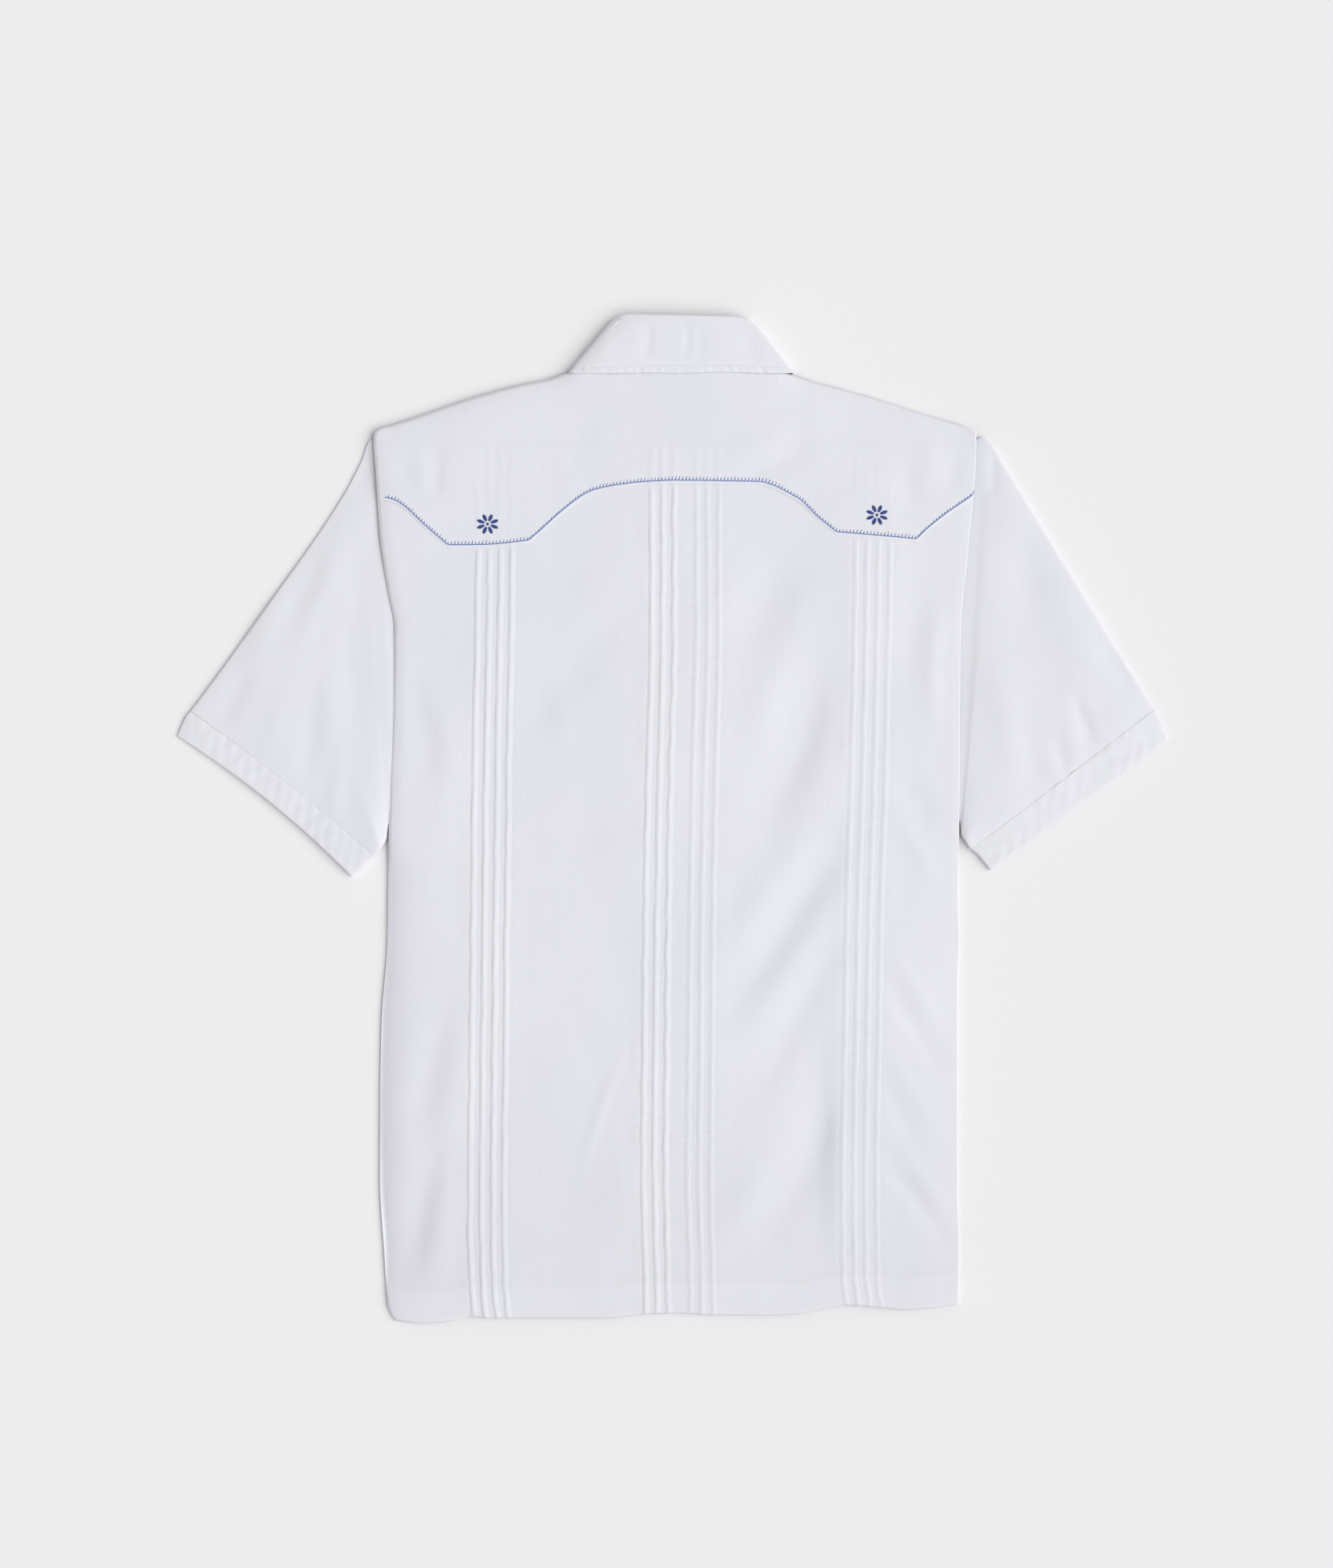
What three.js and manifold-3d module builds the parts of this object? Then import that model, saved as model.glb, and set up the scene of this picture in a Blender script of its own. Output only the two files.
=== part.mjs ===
// A short-sleeved guayabera shirt, buttoned and laid out face down, so that its back shows.
// Millimetres, +Z up from the surface it lies on, +Y towards the collar. The wearer's left is at -X.
// The origin is on the surface, under the middle of the shirt's box.
import * as THREE from "three";
import Module from "manifold-3d";

// Driving sizes.
const CLOTH = 1.2; // the thickness of a wall of cloth
const GAP = 0.3; // between two pieces that meet
const LAYER = CLOTH + GAP; // from one layer of cloth to the next
const REST = CLOTH / 2; // the middle of a wall that lies on the surface
const CENTRE_FRONT = 7; // x of the line that the buttons follow
const SEAM_HEIGHT = 3; // where the back meets the fronts, round the shirt's side
const SEAM_HALF = 0.35; // from there to either's edge
const ROLL = 4.5; // how far in from its outline the cloth is still turning
const EDGE_FALL = 0.7; // how much lower the back lies beside its edges
const EDGE_WIDTH = 26;
const ARMHOLE_DROOP = 0.4;
const PLACKET_WIDTH = 34;
const PLACKET_LIFT = 2.5; // the fronts lie this much higher over the buttons and the collar
const PLACKET_SLOPE = 55; // and come down to the surface over this width
const YOKE_MARGIN = 3.4; // from the yoke's edge up to its row of stitches
const PANEL_TOP = 303; // y of the back's upper edge, under the yoke
const TUCK_WIDTH = 3.2;
const TUCK_HEIGHT = 0.9;
const TUCK_STEP = 0.4; // the width of the step at a tuck's free edge
const TUCK_PITCH = 9.1;
const CUFF_LIFT = 0.7; // how far the turned-up cuff stands out from the sleeve
const BUTTON = { radius: 5.6, thickness: 2.2, rim: 1.3, dish: 0.7, hole: 0.85, holeReach: 1.25 };
const NECK_GAP = 2.2; // between the fronts' necklines and the foot of the collar
const BUTTON_PITCH = 92;
const TOP_BUTTON_Y = 258;
const PLACKET_BUTTONS = 6;
const STAND_BUTTON_Y = 321;

// The outline of the body from hem to shoulder, with the height of its back. y runs up the shirt.
const outline = [
  { y: -407, left: -224, right: 231, loft: 5.7 },
  { y: -392, left: -229.5, right: 231.5, loft: 5.9 },
  { y: -350, left: -232.5, right: 231.5, loft: 6.1 },
  { y: -270, left: -237, right: 230.2, loft: 6.3 },
  { y: -130, left: -232, right: 230.8, loft: 6.4 },
  { y: -16, left: -229, right: 231.2, loft: 6.4 },
  { y: 110, left: -225.5, right: 232.2, loft: 6.4 },
  { y: 167, left: -225, right: 234.4, loft: 6.4 },
  { y: 203, left: -233, right: 238, loft: 6.4 },
  { y: 262, left: -238, right: 242.3, loft: 6.3 },
  { y: 313, left: -240, right: 245.5, loft: 6.2 },
  { y: 364, left: -240, right: 245.5, loft: 6.1 },
];

// The hem from side to side, which waves as it crosses the tucks.
const hem = [
  { x: -240, y: -399 },
  { x: -226, y: -404.5 },
  { x: -208, y: -407 },
  { x: -189, y: -406.2 },
  { x: -162, y: -402.4 },
  { x: -50, y: -402.4 },
  { x: -22, y: -398.8 },
  { x: 32, y: -399 },
  { x: 60, y: -400.4 },
  { x: 111, y: -396 },
  { x: 154, y: -392 },
  { x: 188, y: -395 },
  { x: 219, y: -394 },
  { x: 240, y: -390 },
];

// The shoulders and the back of the neck. fall says how far the cloth turns down there: 1 to the shoulder seam.
const backTop = [
  { x: -240, y: 313, fall: 0.15 },
  { x: -226, y: 318.5, fall: 0.8 },
  { x: -189, y: 332, fall: 1 },
  { x: -151, y: 343.5, fall: 1 },
  { x: -113, y: 352.5, fall: 1 },
  { x: -92, y: 357.5, fall: 1 },
  { x: -80, y: 359.2, fall: 0.5 },
  { x: -70, y: 361.5, fall: 0 },
  { x: 9, y: 361, fall: 0 },
  { x: 84, y: 361.5, fall: 0 },
  { x: 93, y: 359.2, fall: 0.5 },
  { x: 104, y: 356.6, fall: 1 },
  { x: 128, y: 349, fall: 1 },
  { x: 154, y: 343.5, fall: 1 },
  { x: 192, y: 331, fall: 1 },
  { x: 232, y: 317.8, fall: 0.8 },
  { x: 245.5, y: 312.5, fall: 0.15 },
];

// The same for the fronts, whose neckline drops towards the top button.
const frontTop = [
  { x: -240, y: 313, fall: 0 },
  { x: -226, y: 318.5, fall: 0.8 },
  { x: -189, y: 332, fall: 1 },
  { x: -151, y: 343.5, fall: 1 },
  { x: -113, y: 352.5, fall: 1 },
  { x: -94, y: 356, fall: 1 },
  { x: -84, y: 352, fall: 0.4 },
  { x: -68, y: 338, fall: 0 },
  { x: -42, y: 318, fall: 0 },
  { x: -14, y: 304.5, fall: 0 },
  { x: 7, y: 302, fall: 0 },
  { x: 28, y: 304.5, fall: 0 },
  { x: 56, y: 318, fall: 0 },
  { x: 82, y: 338, fall: 0 },
  { x: 98, y: 351, fall: 0.4 },
  { x: 107, y: 354.5, fall: 1 },
  { x: 128, y: 349, fall: 1 },
  { x: 154, y: 343.5, fall: 1 },
  { x: 192, y: 331, fall: 1 },
  { x: 232, y: 317.8, fall: 0.8 },
  { x: 245.5, y: 312.5, fall: 0 },
];

// The row of stitches along the yoke's pointed lower edge.
const yokeStitches = [
  { x: -241, y: 263 },
  { x: -232, y: 261 },
  { x: -219, y: 255.5 },
  { x: -197, y: 235 },
  { x: -181, y: 222, corner: true },
  { x: -150, y: 222.4 },
  { x: -116, y: 225.8, corner: true },
  { x: -93, y: 247 },
  { x: -66, y: 265.2 },
  { x: -16, y: 273 },
  { x: 10, y: 274.2 },
  { x: 71, y: 273.2 },
  { x: 95, y: 263.5 },
  { x: 119, y: 244 },
  { x: 132.5, y: 232.5, corner: true },
  { x: 197, y: 227, corner: true },
  { x: 217, y: 243.5 },
  { x: 246, y: 267 },
];

// The three groups of pin tucks: where each group's middle runs, and its tucks from that middle.
const tuckGroups = [
  {
    name: "left",
    tucks: [-1.5, -0.5, 0.5, 1.5].map((at) => ({ at, free: -1 })),
    middle: [
      { y: -401, x: -146.5 },
      { y: -372, x: -148 },
      { y: -289, x: -148.8 },
      { y: 29, x: -145.6 },
      { y: 225, x: -142.5 },
      { y: 303, x: -142.5 },
    ],
  },
  {
    name: "centre",
    tucks: [-2.95, -1.95, -0.95, 0.95, 1.95, 2.95].map((at) => ({ at, free: Math.sign(at) })),
    middle: [
      { y: -399, x: 5.4 },
      { y: -289, x: 3.9 },
      { y: -200, x: 3.7 },
      { y: -85, x: 4.8 },
      { y: 29, x: 7.4 },
      { y: 156, x: 10.2 },
      { y: 303, x: 10 },
    ],
  },
  {
    name: "right",
    tucks: [-1.5, -0.5, 0.5, 1.5].map((at) => ({ at, free: 1 })),
    middle: [
      { y: -393, x: 154 },
      { y: -370, x: 152.5 },
      { y: -289, x: 151.6 },
      { y: -200, x: 151.2 },
      { y: -66, x: 153.6 },
      { y: 29, x: 156.4 },
      { y: 225, x: 160.6 },
      { y: 303, x: 160.8 },
    ],
  },
];

// The largest folds of the back: soft ridges (and troughs, where rise is negative) along straight lines.
const folds = [
  { fromX: 116, fromY: 150, toX: 40, toY: -130, width: 17, rise: -2.2 },
  { fromX: 84, fromY: 170, toX: 36, toY: 20, width: 15, rise: -1.2 },
  { fromX: 96, fromY: 90, toX: 46, toY: -60, width: 16, rise: 1.2 },
  { fromX: 108, fromY: 20, toX: 70, toY: -170, width: 15, rise: 1.3 },
  { fromX: 130, fromY: -180, toX: 96, toY: -330, width: 17, rise: -1.6 },
  { fromX: 178, fromY: -60, toX: 222, toY: -180, width: 12, rise: -1.2 },
  { fromX: 182, fromY: -235, toX: 229, toY: -345, width: 13, rise: -1.8 },
  { fromX: -178, fromY: 60, toX: -212, toY: -160, width: 13, rise: -1.3 },
  { fromX: -196, fromY: -140, toX: -214, toY: -350, width: 13, rise: -1.7 },
  { fromX: -60, fromY: 120, toX: -112, toY: 20, width: 18, rise: -1.2 },
  { fromX: 196, fromY: 210, toX: 184, toY: 60, width: 14, rise: -1.2 },
];

// Each sleeve from its inner end, inside the armhole, to the seam of its cuff. over and under are its two
// folded edges, bow is how far its end curves out, and top and bottom are the heights of its two layers.
const sleeveShapes = {
  left: {
    side: -1,
    underarmY: -16,
    rows: [
      { t: 0, overX: -224, overY: 290, underX: -203, underY: 24, bow: 0, top: 3.95, bottom: 2.45 },
      { t: 0.1, overX: -243.5, overY: 305, underX: -231.5, underY: -5, bow: 0, top: 3.95, bottom: 2.45 },
      { t: 0.16, overX: -254, overY: 289, underX: -233, underY: -15, bow: 1, top: 3.7, bottom: REST },
      { t: 0.6, overX: -325, overY: 178, underX: -237, underY: -24, bow: 0, top: 5, bottom: REST },
      { t: 1, overX: -387.6, overY: 87, underX: -240, underY: -29, bow: -3, top: 4.4, bottom: REST },
    ],
    cuff: { overX: -400.4, overY: 68.3, underX: -259, underY: -46, bow: -5.4 },
  },
  right: {
    side: 1,
    underarmY: -12,
    rows: [
      { t: 0, overX: 230, overY: 290, underX: 205, underY: 24, bow: 0, top: 3.95, bottom: 2.45 },
      { t: 0.1, overX: 249.5, overY: 306, underX: 234, underY: -4, bow: 0, top: 3.95, bottom: 2.45 },
      { t: 0.16, overX: 258, overY: 300, underX: 235.5, underY: -13, bow: 1, top: 4.8, bottom: REST },
      { t: 0.6, overX: 328, overY: 187, underX: 239, underY: -19, bow: 1, top: 5.2, bottom: REST },
      { t: 1, overX: 388.6, overY: 89, underX: 242, underY: -22, bow: 0.4, top: 4.5, bottom: REST },
    ],
    cuff: { overX: 399.7, overY: 64.5, underX: 257, underY: -41, bow: 0.2 },
  },
};
const SLEEVE_ROLL = 3.2;

// The collar at its side folds, at its leaf's front ends and at the tabs of its stand: the roll line, the
// leaf's outer edge, and the stand's upper edge and neck seam.
const collar = {
  backHeight: 10.6, // the middle of the leaf where it lies over the yoke
  edgeDrop: 0.9, // how much lower its outer edge lies there
  rollRadius: 1.25, // of the leaf's turn over the stand
  sideBulge: 4,
  backNeckY: 362.4,
  left: {
    side: -1,
    fold: { rollX: -44.8, rollY: 408, edgeX: -83.5, edgeY: 360.6, topX: -47, topY: 404.6, neckX: -76 },
    end: { rollX: 1, rollY: 338, edgeX: -28, edgeY: 276, topX: -1, topY: 336.4, neckX: -3 },
    tab: { topX: 19, topY: 322, neckX: 19 },
  },
  right: {
    side: 1,
    fold: { rollX: 62, rollY: 406, edgeX: 97, edgeY: 360.6, topX: 64, topY: 402.6, neckX: 90 },
    end: { rollX: 13, rollY: 338, edgeX: 42, edgeY: 276, topX: 15, topY: 336.4, neckX: 17 },
    tab: { topX: -5, topY: 322, neckX: -5 },
  },
  overlapX: 22, // the right end of the stand lies over the left as far as here
  overlapSlope: 26,
};

const mix = THREE.MathUtils.lerp;
const ramp = THREE.MathUtils.smoothstep;
const QUARTER = Math.PI / 2;
const steps = (count) => Array.from({ length: count + 1 }, (_, i) => i / count);

// A smooth curve through one column of a table, read at a place in another. A corner row keeps its kink.
function curve(rows, key, column) {
  const at = rows.map((row) => row[key]);
  const value = rows.map((row) => row[column]);
  const rise = at.slice(1).map((next, i) => (value[i + 1] - value[i]) / (next - at[i]));
  const slope = (i, before) => {
    if (i === 0) return rise[0];
    if (i === rise.length) return rise[i - 1];
    if (rows[i].corner) return before ? rise[i - 1] : rise[i];
    const product = rise[i - 1] * rise[i];
    return product <= 0 ? 0 : (2 * product) / (rise[i - 1] + rise[i]);
  };
  return (place) => {
    const p = THREE.MathUtils.clamp(place, at[0], at[rise.length]);
    const i = Math.max(0, at.findIndex((a) => a >= p) - 1);
    const span = at[i + 1] - at[i];
    const u = (p - at[i]) / span;
    const start = slope(i, false) * span;
    const end = slope(i + 1, true) * span;
    const change = value[i + 1] - value[i];
    return value[i] + u * (start + u * (3 * change - 2 * start - end + u * (start + end - 2 * change)));
  };
}

const edgeX = { "-1": curve(outline, "y", "left"), 1: curve(outline, "y", "right") };
const loft = curve(outline, "y", "loft");
const hemY = curve(hem, "x", "y");
const backTopY = curve(backTop, "x", "y");
const backFall = curve(backTop, "x", "fall");
const frontTopY = curve(frontTop, "x", "y");
const frontFall = curve(frontTop, "x", "fall");
const stitchY = curve(yokeStitches, "x", "y");
const yokeEdgeY = (x) => stitchY(x) - YOKE_MARGIN;

// How far up a side is in its armhole: 0 at the side seam, 1 where the sleeve comes out.
function inArmhole(side, y) {
  const { underarmY } = Object.values(sleeveShapes).find((shape) => shape.side === side);
  return ramp(y, underarmY - 34, underarmY + 4);
}

// How much higher the fronts lie over the placket's buttons and under the collar.
function frontLift(x, y) {
  const off = Math.abs(x - CENTRE_FRONT);
  const placket = 1 - ramp(off, PLACKET_WIDTH / 2 + 1, PLACKET_WIDTH / 2 + PLACKET_SLOPE);
  const neck = ramp(y, 222, 262) * (1 - ramp(off, 92, 122));
  return PLACKET_LIFT * Math.max(placket, neck);
}

// The middle of the topmost layer of the fronts: beside the buttons the right front lies over the placket.
function frontHeight(x, y) {
  const over = 1 - ramp(Math.abs(x - CENTRE_FRONT), PLACKET_WIDTH / 2 + 1, PLACKET_WIDTH / 2 + 14);
  return REST + frontLift(x, y) + LAYER * over;
}

// The height added to the back at a point by its largest folds.
function foldRise(x, y) {
  return folds.reduce((sum, fold) => {
    const run = new THREE.Vector2(fold.toX - fold.fromX, fold.toY - fold.fromY);
    const reach = new THREE.Vector2(x - fold.fromX, y - fold.fromY);
    const share = reach.dot(run) / run.lengthSq();
    const off = reach.cross(run) / run.length() / fold.width;
    return sum + fold.rise * Math.exp(-off * off) * Math.exp(-((2 * share - 1) ** 4));
  }, 0);
}

// The middle of the back's cloth: it falls a little beside its edges, and lies on the fronts.
function crown(x, y) {
  const inside = Math.min(x - edgeX[-1](y), edgeX[1](y) - x);
  const closed = 1 - inArmhole(x < 0 ? -1 : 1, y);
  const fall = EDGE_FALL * (1 - ramp(inside, 0, EDGE_WIDTH)) * closed;
  return Math.max(loft(y) - REST + foldRise(x, y) - fall, frontHeight(x, y) + LAYER + GAP);
}

// A place on the back. A column is at an x of its own, or part of the way round the turn at one side.
function backPoint(column, y, lift = 0) {
  if (!column.side) return new THREE.Vector3(column.x(y), y, crown(column.x(y), y) + lift);
  const { side, turn } = column;
  const open = inArmhole(side, y);
  const edge = edgeX[side](y);
  const top = crown(edge - side * ROLL, y);
  const angle = turn * QUARTER;
  const closed = { x: ROLL * (1 - Math.cos(angle)), drop: (top - SEAM_HEIGHT - SEAM_HALF) * (1 - Math.sin(angle)) };
  const loose = { x: ROLL * turn, drop: ARMHOLE_DROOP * (1 - turn) ** 2 };
  const outwards = lift * Math.cos(angle) * (1 - open);
  const upwards = lift * mix(Math.sin(angle), 1, open);
  return new THREE.Vector3(
    edge - side * (mix(closed.x, loose.x, open) - outwards),
    y,
    top - mix(closed.drop, loose.drop, open) + upwards,
  );
}

// A place on a front, which lies on the surface and turns up to the side seam.
function frontPoint(column, y, lift = 0) {
  if (!column.side) {
    const x = column.x(y);
    return new THREE.Vector3(x, y, REST + frontLift(x, y) + lift);
  }
  const { side, turn } = column;
  const open = inArmhole(side, y);
  const angle = turn * QUARTER;
  const closed = { x: ROLL * (1 - Math.cos(angle)), rise: (SEAM_HEIGHT - SEAM_HALF - REST) * (1 - Math.sin(angle)) };
  const inwards = mix(closed.x, ROLL * turn, open);
  return new THREE.Vector3(edgeX[side](y) - side * inwards, y, REST + closed.rise * (1 - open));
}

// Rows of a panel, as shares of the way up it: closer together at the foot of the armholes.
const backShares = [0, 0.07, 0.16, 0.26, 0.36, 0.45, 0.53, 0.575, 0.61, 0.72, 0.86, 1];
const frontShares = [0, 0.15, 0.3, 0.42, 0.49, 0.533, 0.565, 0.7, 0.85, 1];

// Columns of a panel: round the turn at one side, then inwards.
const rollTurns = [0, 0.35, 0.7, 1];
const leftRoll = rollTurns.map((turn) => ({ side: -1, turn, x: edgeX[-1] }));
const rightRoll = rollTurns.toReversed().map((turn) => ({ side: 1, turn, x: edgeX[1] }));
const innerEdge = (side) => (y) => edgeX[side](y) - side * ROLL;
const between = (from, to, count) =>
  steps(count + 1)
    .slice(1, -1)
    .map((share) => ({ x: (y) => mix(from(y), to(y), share) }));

// The columns across the back, with three to each tuck: below its free edge, on it, and at its stitched side.
function backColumns() {
  const [left, centre, right] = tuckGroups.map((group) => {
    const middle = curve(group.middle, "y", "x");
    return group.tucks.flatMap((tuck) => {
      const away = tuck.free;
      const places = [
        { off: away * (TUCK_WIDTH / 2 + TUCK_STEP), ridge: 0 },
        { off: (away * TUCK_WIDTH) / 2, ridge: TUCK_HEIGHT },
        { off: (-away * TUCK_WIDTH) / 2, ridge: 0 },
      ];
      const ordered = away < 0 ? places : places.toReversed();
      return ordered.map(({ off, ridge }) => ({ x: (y) => middle(y) + tuck.at * TUCK_PITCH + off, ridge }));
    });
  });
  return [
    ...leftRoll,
    ...between(innerEdge(-1), left[0].x, 3),
    ...left,
    ...between(left.at(-1).x, centre[0].x, 5),
    ...centre,
    ...between(centre.at(-1).x, right[0].x, 5),
    ...right,
    ...between(right.at(-1).x, innerEdge(1), 3),
    ...rightRoll,
  ];
}

// The normals of a grid of points, which all point the same way out of the cloth.
function gridNormals(grid, around) {
  const rows = grid.length;
  const columns = grid[0].length;
  return grid.map((row, i) =>
    row.map((_, j) => {
      const left = around ? (j + columns - 1) % columns : Math.max(j - 1, 0);
      const right = around ? (j + 1) % columns : Math.min(j + 1, columns - 1);
      const across = row[right].clone().sub(row[left]);
      const up = grid[Math.min(i + 1, rows - 1)][j].clone().sub(grid[Math.max(i - 1, 0)][j]);
      return across.cross(up).normalize();
    }),
  );
}

// A closed wall of cloth on a grid of points at its middle. ridge(i, j) thickens its outer side, around joins
// its two sides, and flip turns it over.
function clothWall(grid, { ridge = () => 0, around = false, flip = false } = {}) {
  const rows = grid.length;
  const columns = grid[0].length;
  const normals = gridNormals(grid, around);
  const outward = flip ? -1 : 1;
  const shifted = (distance) =>
    grid.flatMap((row, i) =>
      row.map((point, j) => point.clone().addScaledVector(normals[i][j], outward * distance(i, j))),
    );
  const points = [...shifted((i, j) => CLOTH / 2 + ridge(i, j)), ...shifted(() => -CLOTH / 2)];
  const outer = (i, j) => i * columns + (j % columns);
  const inner = (i, j) => rows * columns + outer(i, j);
  const index = [];
  const quad = (a, b, c, d) => (flip ? index.push(a, c, b, a, d, c) : index.push(a, b, c, a, c, d));
  const lastColumn = around ? columns : columns - 1;
  for (let i = 0; i < rows - 1; i++) {
    for (let j = 0; j < lastColumn; j++) {
      quad(outer(i, j), outer(i, j + 1), outer(i + 1, j + 1), outer(i + 1, j));
      quad(inner(i, j), inner(i + 1, j), inner(i + 1, j + 1), inner(i, j + 1));
    }
  }
  for (let j = 0; j < lastColumn; j++) {
    quad(outer(0, j), inner(0, j), inner(0, j + 1), outer(0, j + 1));
    quad(outer(rows - 1, j), outer(rows - 1, j + 1), inner(rows - 1, j + 1), inner(rows - 1, j));
  }
  for (let i = 0; i < rows - 1 && !around; i++) {
    quad(outer(i, 0), outer(i + 1, 0), inner(i + 1, 0), inner(i, 0));
    quad(outer(i, lastColumn), inner(i, lastColumn), inner(i + 1, lastColumn), outer(i + 1, lastColumn));
  }
  const geometry = new THREE.BufferGeometry();
  const positions = points.flatMap((point) => point.toArray());
  geometry.setAttribute("position", new THREE.Float32BufferAttribute(positions, 3));
  geometry.setIndex(index);
  return geometry;
}

// The back, from its waving hem to its straight upper edge under the yoke. Its tucks end where the yoke begins.
function backPanel() {
  const columns = backColumns();
  const tucked = backShares.length - 1;
  const low = (column) => hemY(column.x(hem[0].y));
  const high = (column) => yokeEdgeY(column.x(240));
  const rows = [
    ...backShares.map((share) => (column) => mix(low(column), high(column) - 2.4, share)),
    ...steps(2).map((share) => (column) => mix(high(column) - 0.9, PANEL_TOP, share)),
  ];
  const grid = rows.map((row) => columns.map((column) => backPoint(column, row(column))));
  return clothWall(grid, { ridge: (i, j) => (i <= tucked ? (columns[j].ridge ?? 0) : 0) });
}

// The rows of a panel from its lower edge to its upper one, where it turns down or up to the shoulder.
function shoulderRows(shares) {
  const flat = shares.map((share) => ({ share, reach: 0, turned: 0 }));
  const rolled = [0.65, 0.3, 0].map((turn) => ({
    share: 1,
    reach: Math.cos(turn * QUARTER),
    turned: 1 - Math.sin(turn * QUARTER),
  }));
  return [...flat, ...rolled];
}

// The yoke: a layer over the back's upper edge, from its pointed edge to the shoulders and the neck.
function backYoke() {
  const cuts = [
    ...[-225, -203, -181, -165, -148, -132, -116, -104, -92, -79, -66, -44, -24, -11, 0],
    ...[14, 25, 38, 54, 71, 83, 95, 107, 120, 132.5, 154, 176, 197, 213, 230],
  ];
  const columns = [...leftRoll, ...cuts.map((x) => ({ x: () => x })), ...rightRoll];
  const grid = shoulderRows(steps(5)).map(({ share, reach, turned }) =>
    columns.map((column) => {
      const x = column.x(290);
      const y = mix(yokeEdgeY(x), backTopY(x) - ROLL, share) + ROLL * reach;
      const point = backPoint(column, y, LAYER);
      const drop = crown(x, y) + LAYER - SEAM_HEIGHT - SEAM_HALF;
      point.z -= Math.max(0, drop) * backFall(x) * turned;
      return point;
    }),
  );
  return clothWall(grid);
}

// A front, between its side and the line where it ends near the buttons.
function frontPanel(side, endX, lift) {
  const end = [endX, CENTRE_FRONT + PLACKET_WIDTH / 2 + 1, CENTRE_FRONT + PLACKET_WIDTH / 2 + 14]
    .slice(0, side < 0 ? 1 : 3)
    .map((x) => ({ x: () => x }));
  const middle =
    side < 0 ? between(innerEdge(-1), end[0].x, 7) : between(end.at(-1).x, innerEdge(1), 6);
  const columns = side < 0 ? [...leftRoll, ...middle, ...end] : [...end, ...middle, ...rightRoll];
  const grid = shoulderRows(frontShares).map(({ share, reach, turned }) =>
    columns.map((column) => {
      const x = column.x(290);
      const y = mix(hemY(column.x(hem[0].y)), frontTopY(x) - ROLL, share) + ROLL * reach;
      const over = 1 - ramp(Math.abs(x - CENTRE_FRONT), PLACKET_WIDTH / 2 + 1, PLACKET_WIDTH / 2 + 14);
      const point = frontPoint(column, y, lift * over);
      point.z += Math.max(0, SEAM_HEIGHT - SEAM_HALF - point.z) * frontFall(x) * turned;
      return point;
    }),
  );
  return clothWall(grid, { flip: true });
}

// The band of cloth down the left front, which holds the buttonholes.
function placket() {
  const columns = steps(3).map((share) => CENTRE_FRONT + (share - 0.5) * PLACKET_WIDTH);
  const grid = steps(6).map((share) =>
    columns.map((x) => new THREE.Vector3(x, mix(hemY(x), frontTopY(x), share), REST + PLACKET_LIFT)),
  );
  return clothWall(grid, { flip: true });
}

// One ring of a sleeve: from its over-arm fold across its upper layer to its underarm fold, and back below.
function sleeveRing(side, row) {
  const along = new THREE.Vector2(row.underX - row.overX, row.underY - row.overY);
  const across = new THREE.Vector2(-side * along.y, side * along.x).normalize();
  const length = along.length();
  const half = (row.top - row.bottom) / 2;
  const flat = steps(5).slice(1, -1);
  const upper = flat.map((share) => ({ reach: mix(SLEEVE_ROLL, length - SLEEVE_ROLL, share), height: 1 }));
  const lower = upper.toReversed().map(({ reach }) => ({ reach, height: -1 }));
  const round = (from, to, count) =>
    steps(count).map((share) => {
      const angle = mix(from, to, share) * QUARTER;
      const centre = Math.abs(from) + Math.abs(to) > 2 ? SLEEVE_ROLL : length - SLEEVE_ROLL;
      return { reach: centre + SLEEVE_ROLL * Math.cos(angle), height: Math.sin(angle) };
    });
  const places = [...round(3, 1, 6), ...upper, ...round(1, -1, 6), ...lower];
  return places.map(({ reach, height }) => {
    const share = reach / length;
    const bow = row.bow * 4 * share * (1 - share);
    return new THREE.Vector3(
      row.overX + along.x * share + across.x * bow,
      row.overY + along.y * share + across.y * bow,
      (row.top + row.bottom) / 2 + half * height,
    );
  });
}

// A row of a sleeve's table at any share of its length.
function sleeveRow(shape, t) {
  const columns = Object.keys(shape.rows[0]);
  return Object.fromEntries(columns.map((column) => [column, curve(shape.rows, "t", column)(t)]));
}

// A sleeve: a flattened tube from inside the armhole to the seam of its cuff.
function sleeve(shape) {
  const places = [0, 0.05, 0.1, 0.16, 0.32, 0.48, 0.65, 0.82, 1];
  const grid = places.map((t) => sleeveRing(shape.side, sleeveRow(shape, t)));
  return clothWall(grid, { around: true, flip: shape.side > 0 });
}

// A cuff: the turned-up band at a sleeve's end, standing a little out from it.
function cuff(shape) {
  const seam = shape.rows.at(-1);
  const edge = { ...seam, ...shape.cuff };
  const grid = [0.03, 0.5, 1].map((share) => {
    const row = Object.fromEntries(Object.keys(seam).map((key) => [key, mix(seam[key], edge[key], share)]));
    return sleeveRing(shape.side, { ...row, top: row.top + CUFF_LIFT });
  });
  return clothWall(grid, { around: true, flip: shape.side > 0 });
}

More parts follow.
